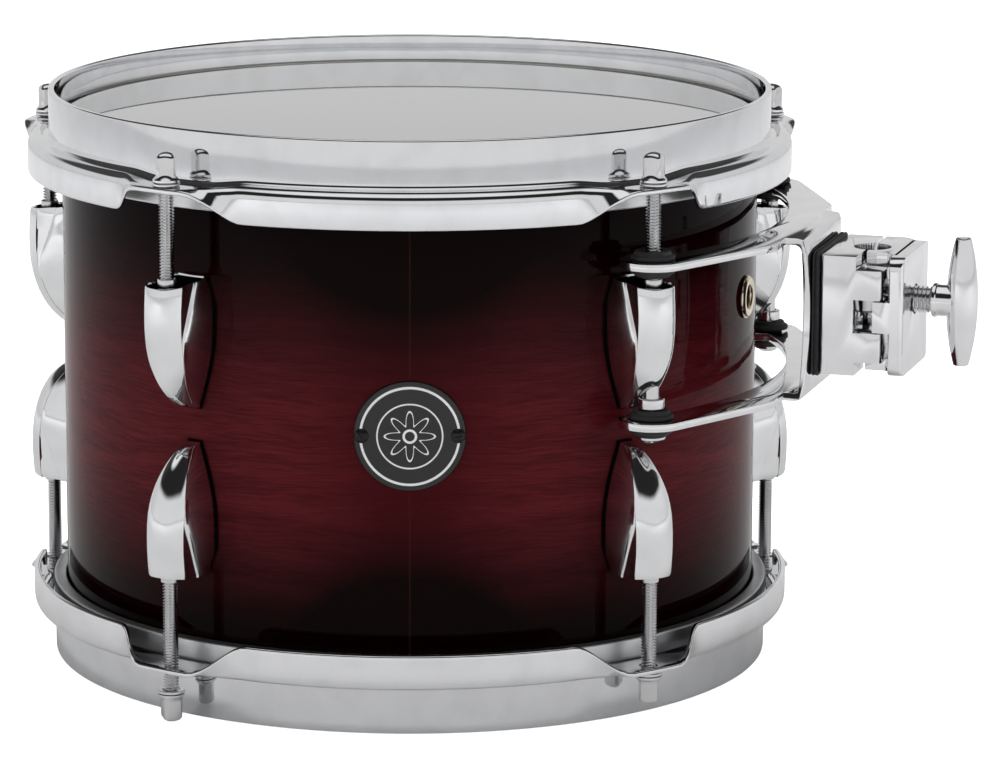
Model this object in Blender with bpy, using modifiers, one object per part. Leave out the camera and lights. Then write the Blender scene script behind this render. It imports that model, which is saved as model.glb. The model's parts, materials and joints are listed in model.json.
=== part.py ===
"""A ten-inch tom tom drum with double-flanged hoops, ten single lugs, a suspension bracket and an L-rod clamp.

Metres, +Z up. The drum's axis is the Z axis, the badge faces -Y, and the origin is the centre of the batter
head's playing face. Run it with blender --background --python part.py, or from Blender's text editor.
"""

import math

import bmesh
import bpy
from mathutils import Matrix, Vector

# Shell
SHELL_RADIUS = 0.126
SHELL_WALL = 0.006
SHELL_DEPTH = 0.186
EDGE_ROUND = 0.0012
GAP = 0.0003
# The shell and the heads turn in the same steps, so that the gap between their facets stays even.
ROUND_STEPS = 54

# Drum heads
FILM = 0.0003
COLLAR_DEPTH = 0.0094
FLESH_HOOP_WIDTH = 0.0048
FLESH_HOOP_HEIGHT = 0.0075

# Hoops
HOOP_CLEARANCE = 0.0023
HOOP_SHEET = 0.0023
HOOP_WALL_RADIUS = SHELL_RADIUS + HOOP_CLEARANCE + HOOP_SHEET
RIM_ABOVE_HEAD = 0.0099
RIM_TO_FLANGE = 0.017
SKIRT_REACH = 0.0077
SKIRT_RADIUS = HOOP_WALL_RADIUS + SKIRT_REACH
SKIRT_DEPTH = 0.0128
EAR_REACH = 0.0164
EAR_RADIUS = HOOP_WALL_RADIUS + EAR_REACH
EAR_DROP = 0.0013

# Tension rods
ROD_ANGLES = (-108, -36, 36, 108, 180)
HALF_SPACING = 180 / len(ROD_ANGLES)
ROD_OFFSET = 0.0104
ROD_CIRCLE = HOOP_WALL_RADIUS + ROD_OFFSET
THREAD_RADIUS = 0.00275
THREAD_PITCH = 0.0254 / 24
THREAD_ENGAGEMENT = 0.0137
HEAD_SQUARE = 0.00635
HEAD_HEIGHT = 0.0082
HEAD_TURN = 34
FLANGE_RADIUS = 0.0046
FLANGE_THICKNESS = 0.0019
WASHER_RADIUS = 0.00505
WASHER_THICKNESS = 0.0011
BACKED_OFF_ANGLE = -36
BACKED_OFF_TURNS = 6
ROD_CLEARANCE = 0.0006

# Lugs
LUG_BULGE = 0.0225
LUG_TIP = 0.006
LUG_LENGTH = 0.0446
LUG_MOUTH = LUG_TIP + LUG_LENGTH
LUG_WIDEST = LUG_MOUTH - 0.0116
LUG_COLUMN_WIDTH = 0.0160
LUG_BASE_WIDTH = 0.0178
LUG_CAVITY_RADIUS = 0.0045
LUG_CAVITY_DEPTH = 0.030

# Badge and vent
BADGE_RADIUS = 0.0192
BADGE_THICKNESS = 0.0008
BADGE_HEIGHT = 0.0009
BADGE_SCREW_INSET = 0.0029
BADGE_SCREW_RADIUS = 0.0012
BADGE_SCREW_HEAD_RADIUS = 0.00255
VENT_ANGLE = 72
VENT_HEIGHT = 0.0325
VENT_HOLE_RADIUS = 0.0052
VENT_FLANGE = 0.0029

# Suspension bracket
MOUNT_ANGLE = 72
UPPER_PLATE_TOP = LUG_MOUTH + 0.0094
LOWER_PLATE_TOP = LUG_TIP - 0.0015
PLATE_THICKNESS = 0.0026
GROMMET_WALL = 0.00215
GROMMET_HOLE_RADIUS = THREAD_RADIUS + ROD_CLEARANCE + GROMMET_WALL
GROMMET_RADIUS = GROMMET_HOLE_RADIUS + 0.0022
GROMMET_FLANGE = 0.0029
LOBE_MARGIN = 0.0038
LOBE_RADIUS = GROMMET_RADIUS + LOBE_MARGIN
PLATE_INNER_RADIUS = ROD_CIRCLE - 0.0035
WALL_OUTER = ROD_CIRCLE + 0.0143
WALL_HALF_WIDTH = 0.028
WALL_WAIST = 0.005
COLLAR_RADIUS = THREAD_RADIUS + 0.00185
BOSS_FLAT = LUG_TIP + 0.006
SCREW_HEAD_RADIUS = 0.0052
SCREW_HEAD_HEIGHT = 0.0022

# Clamp for a half-inch L-rod
L_ROD_BORE_RADIUS = 0.0066
GASKET_THICKNESS = 0.0026
CLAMP_LIFT = 0.0011
CLAMP_HALF_DEPTH = 0.022
CLAMP_HEIGHT = 0.0424
BASE_LENGTH = 0.0222
BORE_FROM_END = L_ROD_BORE_RADIUS + 0.0019
SPLIT_FROM_END = BORE_FROM_END + 0.001
SPLIT_GAP = 0.0012
JAW_EAR_HEIGHT = 0.0048
JAW_EAR_CLEARANCE = 0.0003
RECESS_DEPTH = 0.012
WINDOW_HEIGHT = 0.0118
WINDOW_LENGTH = 0.0102
JAW_GAP = 0.0023
JAW_THICKNESS = 0.005
FINGER_LENGTH = 0.0056
BOLT_LIFT = 0.0034
EYE_WALL = 0.0025
EYE_HEIGHT = 0.0088
EYE_CLEARANCE = 0.0014
BOLT_RADIUS = 0.0048
BOLT_LENGTH = 0.017
NUT_STAND_OFF = 0.0065
NUT_NECK_RADIUS = 0.00635
NUT_NECK_LENGTH = 0.0052
HANDLE_LENGTH = 0.046
HANDLE_RADIUS = 0.0057
HANDLE_END_RADIUS = 0.0028
THRUST_WASHER_THICKNESS = 0.0012

HEAD_TOP = SHELL_DEPTH / 2 + GAP + FILM
RIM = HEAD_TOP + RIM_ABOVE_HEAD
FLANGE_TOP = RIM - RIM_TO_FLANGE
EAR_TOP = FLANGE_TOP - EAR_DROP
WASHER_SEAT = EAR_TOP + GAP
HEAD_SEAT = WASHER_SEAT + WASHER_THICKNESS + GAP
LUG_BACK = SHELL_RADIUS + GAP
THREAD_LENGTH = HEAD_SEAT - LUG_MOUTH + THREAD_ENGAGEMENT

parts = None
cutters = None
drum = None


def clear_scene():
    for item in list(bpy.data.objects):
        bpy.data.objects.remove(item)


def start_collections():
    """The drum's pieces, the cutters, and an empty that puts the origin on the playing face."""
    global parts, cutters, drum
    parts = bpy.data.collections.new("tom_tom_drum")
    cutters = bpy.data.collections.new("cutters")
    bpy.context.scene.collection.children.link(parts)
    bpy.context.scene.collection.children.link(cutters)
    drum = bpy.data.objects.new("drum_centre", None)
    drum.location.z = -HEAD_TOP
    parts.objects.link(drum)


def material(name, colour, roughness, metallic=0.0, alpha=1.0):
    finish = bpy.data.materials.new(name)
    finish.use_nodes = True
    shader = finish.node_tree.nodes["Principled BSDF"]
    shader.inputs["Base Color"].default_value = (*colour, 1.0)
    shader.inputs["Roughness"].default_value = roughness
    shader.inputs["Metallic"].default_value = metallic
    shader.inputs["Alpha"].default_value = alpha
    return finish


def add(name, mesh, finish, place=None):
    """A part, placed in the drum's own frame."""
    part = bpy.data.objects.new(name, mesh)
    if finish.name not in mesh.materials:
        mesh.materials.append(finish)
    parts.objects.link(part)
    part.parent = drum
    if place is not None:
        part.matrix_local = place
    mesh.shade_smooth()
    mesh.set_sharp_from_angle(angle=math.radians(35))
    return part


def cutter(name, mesh, place=None):
    tool = bpy.data.objects.new(name, mesh)
    tool.hide_render = True
    tool.display_type = "WIRE"
    cutters.objects.link(tool)
    tool.parent = drum
    if place is not None:
        tool.matrix_local = place
    return tool


def boolean(part, tool, operation="DIFFERENCE"):
    change = part.modifiers.new(tool.name, "BOOLEAN")
    change.operation = operation
    change.solver = "EXACT"
    change.object = tool


def as_mesh(name, build):
    shape = bmesh.new()
    build(shape)
    bmesh.ops.recalc_face_normals(shape, faces=shape.faces)
    mesh = bpy.data.meshes.new(name)
    shape.to_mesh(mesh)
    shape.free()
    return mesh


def cylinder(name, radius, low, high, segments=16):
    """A cylinder about Z between two heights."""
    centre = Matrix.Translation((0, 0, (low + high) / 2))
    return as_mesh(name, lambda shape: bmesh.ops.create_cone(
        shape, cap_ends=True, segments=segments, radius1=radius, radius2=radius, depth=high - low, matrix=centre))


def block(name, low, high):
    """A box between two corners."""
    size = Vector(high) - Vector(low)
    middle = Matrix.Translation((Vector(high) + Vector(low)) / 2)
    return as_mesh(name, lambda shape: bmesh.ops.create_cube(
        shape, size=1, matrix=middle @ Matrix.Diagonal((*size, 1))))


def loft(name, sections, closed_ends=True, joined=False):
    """A skin through sections with equal numbers of points; joined closes the last section onto the first."""
    def build(shape):
        rings = [[shape.verts.new(point) for point in section] for section in sections]
        pairs = list(zip(rings, rings[1:]))
        if joined:
            pairs.append((rings[-1], rings[0]))
        for ring, following in pairs:
            for index in range(len(ring)):
                after = (index + 1) % len(ring)
                shape.faces.new((ring[index], ring[after], following[after], following[index]))
        if closed_ends and not joined:
            shape.faces.new(rings[0])
            shape.faces.new(rings[-1])
    return as_mesh(name, build)


def turned(name, profile, finish, steps=ROUND_STEPS, ring=True, place=None):
    """A profile of (radius, height) pairs, running down its outer side, turned about Z."""
    mesh = bpy.data.meshes.new(name)
    edges = [(index, index + 1) for index in range(len(profile) - 1)]
    if ring:
        edges.append((len(profile) - 1, 0))
    mesh.from_pydata([(radius, 0, height) for radius, height in profile], edges, [])
    part = add(name, mesh, finish, place)
    screw = part.modifiers.new("turn", "SCREW")
    screw.steps = screw.render_steps = steps
    screw.use_merge_vertices = True
    screw.merge_threshold = 0.00001
    screw.use_smooth_shade = True
    return part


def facing(angle, radius=0.0, height=0.0):
    """A frame at an angle from the badge, positive to the right: X is outward, Y tangential, Z up."""
    return (Matrix.Rotation(math.radians(angle - 90), 4, "Z")
            @ Matrix.Translation((radius, 0, height)))


def along_x(place):
    """Turns a part made about Z so that its axis is the frame's X."""
    return place @ Matrix.Rotation(math.radians(90), 4, "Y")


def arc(centre, radius, start, end, steps):
    """Points on an arc between two angles in degrees."""
    for step in range(steps + 1):
        angle = math.radians(start + (end - start) * step / steps)
        yield centre[0] + radius * math.cos(angle), centre[1] + radius * math.sin(angle)


def make_shell(finish):
    half = SHELL_DEPTH / 2
    inner = SHELL_RADIUS - SHELL_WALL
    peak = SHELL_RADIUS - 2 * EDGE_ROUND
    bevel = peak - inner
    upper = [(inner, half - bevel), (peak, half), (SHELL_RADIUS - EDGE_ROUND, half), (SHELL_RADIUS, half - EDGE_ROUND)]
    lower = [(radius, -height) for radius, height in reversed(upper)]
    shell = turned("shell", upper + lower, finish)
    vent = facing(VENT_ANGLE, SHELL_RADIUS, VENT_HEIGHT)
    boolean(shell, cutter("vent_hole", cylinder("vent_hole", VENT_HOLE_RADIUS, -0.02, 0.02), along_x(vent)))
    for side in (-1, 1):
        boolean(shell, screw_hole("shell", side))


def make_vent(finish):
    """The eyelet's outer flange lies on the shell, and its end is rolled over inside."""
    tube = VENT_HOLE_RADIUS - GAP
    bore = tube - 0.001
    wall = SHELL_WALL + 2 * GAP
    roll = tube + 0.0018
    flange = VENT_HOLE_RADIUS + VENT_FLANGE
    profile = [(tube + 0.0002, 0.0015), (flange, 0.0008), (flange, 0.0), (tube, 0.0),
               (tube, -wall - GAP), (roll, -wall - GAP), (roll, -wall - 0.0011), (bore, -wall - 0.0011),
               (bore, 0.0012)]
    place = along_x(facing(VENT_ANGLE, SHELL_RADIUS + GAP, VENT_HEIGHT))
    turned("vent_eyelet", profile, finish, steps=16, place=place)


def screw_hole(owner, side):
    name = f"{owner}_screw_hole_{'left' if side < 0 else 'right'}"
    hole = cylinder(name, BADGE_SCREW_RADIUS + GAP, -2 * SHELL_WALL, SHELL_WALL, 10)
    return cutter(name, hole, badge_screw_place(side))


def badge_screw_place(side):
    """The badge's screws point at the drum's axis, where the badge's surface is."""
    angle = math.degrees(side * (BADGE_RADIUS - BADGE_SCREW_INSET) / SHELL_RADIUS)
    return along_x(facing(angle, SHELL_RADIUS + GAP + BADGE_THICKNESS, BADGE_HEIGHT))


def make_badge(finish, screw_finish):
    """A disc bent to the shell's curve, and its two screws."""
    rings, segments = 2, 24

    def bent(distance, turn):
        across = distance * math.cos(turn)
        angle = across / SHELL_RADIUS
        radius = SHELL_RADIUS + GAP
        return radius * math.sin(angle), -radius * math.cos(angle), BADGE_HEIGHT + distance * math.sin(turn)

    def build(shape):
        centre = shape.verts.new(bent(0, 0))
        last = None
        for ring in range(1, rings + 1):
            points = [shape.verts.new(bent(BADGE_RADIUS * ring / rings, 2 * math.pi * step / segments))
                      for step in range(segments)]
            for index in range(segments):
                after = (index + 1) % segments
                inner = (centre,) if last is None else (last[after], last[index])
                shape.faces.new((points[index], points[after], *inner))
            last = points
    badge = add("badge", as_mesh("badge", build), finish)
    thicken = badge.modifiers.new("thickness", "SOLIDIFY")
    thicken.thickness = BADGE_THICKNESS
    thicken.offset = 1.0
    for side in (-1, 1):
        boolean(badge, screw_hole("badge", side))
        name = f"badge_screw_{'left' if side < 0 else 'right'}"
        shank, head = BADGE_SCREW_RADIUS, BADGE_SCREW_HEAD_RADIUS
        end = -SHELL_WALL - 0.0035
        profile = [(0, GAP + 0.0013), (head * 0.55, GAP + 0.001), (head, GAP), (shank, GAP), (shank, end),
                   (0, end - 0.001)]
        turned(name, profile, screw_finish, steps=12, ring=False, place=badge_screw_place(side))


def flipped(bottom):
    """The lower half's pieces are the upper half's, turned over about the Y axis."""
    return Matrix.Rotation(math.pi, 4, "Y") if bottom else Matrix.Identity(4)


def make_head(name, finish, flesh_finish, bottom):
    edge = SHELL_DEPTH / 2 + GAP
    outer = SHELL_RADIUS + GAP + FILM
    low = edge - COLLAR_DEPTH
    turn = outer - FILM - EDGE_ROUND
    profile = [(0, edge + FILM), (turn, edge + FILM), (outer, edge - EDGE_ROUND), (outer, low), (outer - FILM, low),
               (outer - FILM, edge - EDGE_ROUND - FILM / 2), (turn, edge), (0, edge)]
    turned(f"{name}_head", profile, finish, ring=False, place=flipped(bottom))
    inner = outer - FILM
    top = low - GAP
    square = [(inner, top), (inner + FLESH_HOOP_WIDTH, top), (inner + FLESH_HOOP_WIDTH, top - FLESH_HOOP_HEIGHT),
              (inner, top - FLESH_HOOP_HEIGHT)]
    turned(f"{name}_flesh_hoop", square, flesh_finish, place=flipped(bottom))


def hoop_section(spread):
    """The hoop's section as (radius, height); spread runs from 0, a hanging skirt, to 1, a flat ear."""
    wall = HOOP_WALL_RADIUS
    inner = wall - HOOP_SHEET
    shoulder = FLANGE_TOP - HOOP_SHEET
    bend = SKIRT_RADIUS - wall
    skirt = [(wall, RIM), (wall, FLANGE_TOP + 0.003), (wall + 0.0012, FLANGE_TOP + 0.0006),
             (wall + 0.0035, FLANGE_TOP), (wall + bend * 0.75, FLANGE_TOP - 0.0006),
             (SKIRT_RADIUS, FLANGE_TOP - 0.0035), (SKIRT_RADIUS, FLANGE_TOP - SKIRT_DEPTH),
             (SKIRT_RADIUS - HOOP_SHEET, FLANGE_TOP - SKIRT_DEPTH), (SKIRT_RADIUS - HOOP_SHEET, shoulder - 0.0025),
             (wall + bend * 0.5, shoulder - 0.0002), (inner + 0.001, shoulder + 0.0006), (inner, FLANGE_TOP + 0.001),
             (inner, RIM)]
    under = EAR_TOP - HOOP_SHEET * 0.8
    ear = skirt[:2] + [(wall + 0.0012, EAR_TOP + 0.0008), (wall + 0.004, EAR_TOP), (EAR_RADIUS - 0.004, EAR_TOP),
                       (EAR_RADIUS - 0.0004, EAR_TOP), (EAR_RADIUS, EAR_TOP - 0.0005),
                       (EAR_RADIUS, under), (EAR_RADIUS - 0.005, under), (wall + bend * 0.5, under),
                       (inner + 0.001, under + 0.001)] + skirt[-2:]
    return [(a[0] + (b[0] - a[0]) * spread, a[1] + (b[1] - a[1]) * spread) for a, b in zip(skirt, ear)]


def hoop_stations():
    """(angle, spread) pairs round the hoop, closer together where the skirt turns out into an ear."""
    wave = ((-13, 0), (-9, 0.25), (-6, 0.8), (-3.5, 1), (3.5, 1), (6, 0.8), (9, 0.25), (13, 0))
    plain_steps = 4
    stations = []
    for centre in ROD_ANGLES:
        stations += [(centre + angle, spread) for angle, spread in wave]
        start = centre + wave[-1][0]
        free = 360 / len(ROD_ANGLES) - 2 * wave[-1][0]
        stations += [(start + free * step / plain_steps, 0) for step in range(1, plain_steps)]
    return stations


def make_hoop(name, finish, bottom):
    sections = []
    for angle, spread in hoop_stations():
        turn = math.radians(angle - 90)
        sections.append([(radius * math.cos(turn), radius * math.sin(turn), height)
                         for radius, height in hoop_section(spread)])
    hoop = add(f"{name}_hoop", loft(f"{name}_hoop", sections, joined=True), finish, flipped(bottom))
    for angle in ROD_ANGLES:
        label = f"{name}_ear_hole_{angle % 360}"
        hole = cylinder(label, THREAD_RADIUS + ROD_CLEARANCE, EAR_TOP - 2 * HOOP_SHEET, EAR_TOP + HOOP_SHEET, 12)
        boolean(hoop, cutter(label, hole, flipped(bottom) @ facing(angle, ROD_CIRCLE)))


def lug_outline(height):
    """One level of a lug, seen from above: X outward and Y tangential, counter-clockwise."""
    reach = LUG_WIDEST - LUG_TIP
    share = max(0.0, (LUG_WIDEST - height) / reach)
    swell = math.sqrt(max(0.0, 1 - share * share))
    past = max(0.0, height - LUG_WIDEST) / (LUG_MOUTH - LUG_WIDEST)
    front = LUG_BACK + max(LUG_BULGE * swell - 0.0009 * past * past, 0.0008)
    opened = (height - LUG_TIP) / (LUG_MOUTH - LUG_TIP)
    column = LUG_COLUMN_WIDTH / 2 * (0.62 + 0.38 * min(1.0, swell * 1.05))
    flare = LUG_BASE_WIDTH / 2 * (0.62 + 0.38 * math.sin(min(1.0, opened * 1.25) * math.pi / 2))
    if height <= LUG_TIP:
        flare = column = LUG_COLUMN_WIDTH * 0.31
    flare = max(flare, column + 0.0002)
    back = math.sqrt(LUG_BACK ** 2 - flare ** 2) + 0.0004
    depth = front - LUG_BACK
    root = LUG_BACK + depth * (0.62 - 0.34 * opened)
    half = [(front, 0.0), (front - 0.0009 * swell, column * 0.55), (front - 0.0032 * swell, column),
            (root, column), (back + min(0.0014, depth * 0.5), flare), (back, flare), (LUG_BACK, flare * 0.5)]
    return half + [(x, -y) for x, y in reversed(half[1:])]


def make_lug(name, finish, place, on_mount):
    swelling = LUG_WIDEST - LUG_TIP
    levels = [LUG_TIP + swelling * share for share in (0, 0.045, 0.18, 0.42, 0.73, 1)] + [LUG_MOUTH]
    sections = [[(x, y, height) for x, y in lug_outline(height)] for height in levels]
    lug = add(name, loft(name, sections), finish, place)
    cavity = cylinder(f"{name}_cavity", LUG_CAVITY_RADIUS, LUG_MOUTH - LUG_CAVITY_DEPTH, LUG_MOUTH + 0.01, 10)
    boolean(lug, cutter(f"{name}_cavity", cavity, place @ Matrix.Translation((ROD_CIRCLE, 0, 0))))
    if on_mount:
        flat = cylinder(f"{name}_flat", COLLAR_RADIUS + 0.0008, LUG_TIP - 0.02, BOSS_FLAT, 16)
        boolean(lug, cutter(f"{name}_flat", flat, place @ Matrix.Translation((ROD_CIRCLE, 0, 0))))
        thread = cylinder(f"{name}_thread", THREAD_RADIUS + GAP, 0.0, LUG_MOUTH - LUG_CAVITY_DEPTH - 0.001, 12)
        boolean(lug, cutter(f"{name}_thread", thread, place @ Matrix.Translation((ROD_CIRCLE, 0, 0))))


def round_section(radius, height, points=8):
    return [(radius * math.cos(2 * math.pi * step / points), radius * math.sin(2 * math.pi * step / points), height)
            for step in range(points)]


def square_section(across, height, points=8):
    """A square with points along its sides, which a round section joins without a twist."""
    half = across / 2
    turn = math.pi / 4
    section = []
    for step in range(points):
        angle = 2 * math.pi * step / points + turn
        reach = half / max(abs(math.cos(angle)), abs(math.sin(angle)))
        section.append((reach * math.cos(angle - turn), reach * math.sin(angle - turn), height))
    return section


def make_rod(name, finish, place, backed_off):
    """Shank, flange and square key head about Z, head up; backed_off lifts it out of the lug."""
    lift = HEAD_SEAT + backed_off
    head = lift + FLANGE_THICKNESS
    sections = [round_section(THREAD_RADIUS * 0.7, lift - THREAD_LENGTH),
                round_section(THREAD_RADIUS, lift - THREAD_LENGTH + 0.001), round_section(THREAD_RADIUS, lift),
                round_section(FLANGE_RADIUS, lift), round_section(FLANGE_RADIUS, lift + FLANGE_THICKNESS * 0.5),
                square_section(HEAD_SQUARE, head), square_section(HEAD_SQUARE, head + HEAD_HEIGHT - 0.0012),
                round_section(HEAD_SQUARE * 0.32, head + HEAD_HEIGHT)]
    add(name, loft(name, sections), finish, place @ Matrix.Rotation(math.radians(HEAD_TURN), 4, "Z"))


def washer(name, finish, outer, inner, low, high, place, steps=10):
    turned(name, [(outer, high), (outer, low), (inner, low), (inner, high)], finish, steps=steps, place=place)


def make_lugs_and_rods(lug_finish, rod_finish, washer_finish):
    for bottom in (False, True):
        half = "bottom" if bottom else "top"
        for number, angle in enumerate(ROD_ANGLES, start=1):
            # The lower half is turned over about Y, which swaps left and right.
            place = flipped(bottom) @ facing(-angle if bottom else angle)
            on_mount = not bottom and abs(angle - MOUNT_ANGLE) == HALF_SPACING
            make_lug(f"lug_{half}_{number}", lug_finish, place, on_mount)
            loose = THREAD_PITCH * BACKED_OFF_TURNS if bottom and angle == BACKED_OFF_ANGLE else 0.0
            on_axis = place @ Matrix.Translation((ROD_CIRCLE, 0, 0))
            make_rod(f"tension_rod_{half}_{number}", rod_finish, on_axis, loose)
            seat = WASHER_SEAT + loose
            washer(f"rod_washer_{half}_{number}", washer_finish, WASHER_RADIUS, THREAD_RADIUS + ROD_CLEARANCE / 2,
                   seat, seat + WASHER_THICKNESS, on_axis)


def bracket_outline():
    """The bracket from above: a flat wall, tangents to the round lobes at two lugs, and an inner arc."""
    spread = math.radians(HALF_SPACING)
    lobe = Vector((ROD_CIRCLE * math.cos(spread), ROD_CIRCLE * math.sin(spread)))
    corner = Vector((WALL_OUTER, WALL_HALF_WIDTH))
    away = corner - lobe
    start = math.degrees(math.atan2(away.y, away.x) + math.acos(LOBE_RADIUS / away.length))
    bend = (PLATE_INNER_RADIUS ** 2 - ROD_CIRCLE ** 2 - LOBE_RADIUS ** 2) / (2 * ROD_CIRCLE * LOBE_RADIUS)
    end = 360 + HALF_SPACING - math.degrees(math.acos(bend))
    side = [tuple(corner)] + list(arc(lobe, LOBE_RADIUS, start, end, 10))
    inner_angle = math.degrees(math.atan2(side[-1][1], side[-1][0]))
    inner = list(arc((0, 0), PLATE_INNER_RADIUS, inner_angle, -inner_angle, 8))[1:-1]
    return side + inner + [(x, -y) for x, y in reversed(side)]


def make_bracket(finish, rubber, steel):
    place = facing(MOUNT_ANGLE)
    bottom = LOWER_PLATE_TOP - PLATE_THICKNESS
    outline = bracket_outline()
    prism = [[(x, y, height) for x, y in outline] for height in (bottom, UPPER_PLATE_TOP)]
    bracket = add("bracket_plate", loft("bracket_plate", prism), finish, place)
    inside = block("bracket_inside", (0, -0.2, LOWER_PLATE_TOP),
                   (WALL_OUTER - PLATE_THICKNESS, 0.2, UPPER_PLATE_TOP - PLATE_THICKNESS))
    boolean(bracket, cutter("bracket_inside", inside, place))
    opening = (UPPER_PLATE_TOP - PLATE_THICKNESS - LOWER_PLATE_TOP) / 2
    middle = LOWER_PLATE_TOP + opening
    waist_radius = (opening ** 2 + WALL_WAIST ** 2) / (2 * WALL_WAIST)
    for side, label in ((-1, "near"), (1, "far")):
        centre = side * (WALL_HALF_WIDTH - WALL_WAIST + waist_radius)
        name = f"bracket_waist_{label}"
        waist = cylinder(name, waist_radius, WALL_OUTER - 0.008, WALL_OUTER + 0.005, 72)
        boolean(bracket, cutter(name, waist, along_x(place @ Matrix.Translation((0, centre, middle)))))
    for angle, label in ((MOUNT_ANGLE - HALF_SPACING, "front"), (MOUNT_ANGLE + HALF_SPACING, "rear")):
        axis = facing(angle, ROD_CIRCLE)
        name = f"bracket_hole_{label}"
        hole = cylinder(name, GROMMET_HOLE_RADIUS, bottom - 0.01, UPPER_PLATE_TOP + 0.01, 12)
        boolean(bracket, cutter(name, hole, axis))
        make_grommet(f"grommet_upper_{label}", rubber, axis, UPPER_PLATE_TOP)
        make_grommet(f"grommet_lower_{label}", rubber, axis, LOWER_PLATE_TOP)
        collar_low = LOWER_PLATE_TOP + GAP + GROMMET_FLANGE + GAP
        washer(f"lug_collar_{label}", steel, COLLAR_RADIUS, THREAD_RADIUS + GAP, collar_low, BOSS_FLAT - GAP, axis, 12)
        make_bracket_screw(f"bracket_screw_{label}", steel, axis)


def make_grommet(name, finish, axis, plate_top):
    """A rubber spool that holds the plate in its groove and passes a rod or a screw."""
    neck = GROMMET_HOLE_RADIUS - GAP
    bore = THREAD_RADIUS + ROD_CLEARANCE
    under = plate_top - PLATE_THICKNESS - GAP
    over = plate_top + GAP
    profile = [(GROMMET_RADIUS - 0.0008, over + GROMMET_FLANGE), (GROMMET_RADIUS, over + GROMMET_FLANGE - 0.0008),
               (GROMMET_RADIUS, over), (neck, over), (neck, under), (GROMMET_RADIUS, under),
               (GROMMET_RADIUS, under - GROMMET_FLANGE + 0.0008), (GROMMET_RADIUS - 0.0008, under - GROMMET_FLANGE),
               (bore, under - GROMMET_FLANGE), (bore, over + GROMMET_FLANGE)]
    turned(name, profile, finish, steps=12, place=axis)


def make_bracket_screw(name, finish, axis):
    seat = LOWER_PLATE_TOP - PLATE_THICKNESS - 2 * GAP - GROMMET_FLANGE
    end = LUG_MOUTH - LUG_CAVITY_DEPTH - 0.0015
    shank = THREAD_RADIUS
    profile = [(0, end), (shank, end - 0.001), (shank, seat), (SCREW_HEAD_RADIUS, seat),
               (SCREW_HEAD_RADIUS, seat - SCREW_HEAD_HEIGHT * 0.5),
               (SCREW_HEAD_RADIUS * 0.7, seat - SCREW_HEAD_HEIGHT), (0, seat - SCREW_HEAD_HEIGHT)]
    turned(name, profile, finish, steps=14, ring=False, place=axis)


def bevel(part, width, segments=1):
    change = part.modifiers.new("edges", "BEVEL")
    change.width = width
    change.segments = segments
    change.limit_method = "ANGLE"
    change.angle_limit = math.radians(50)


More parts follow.
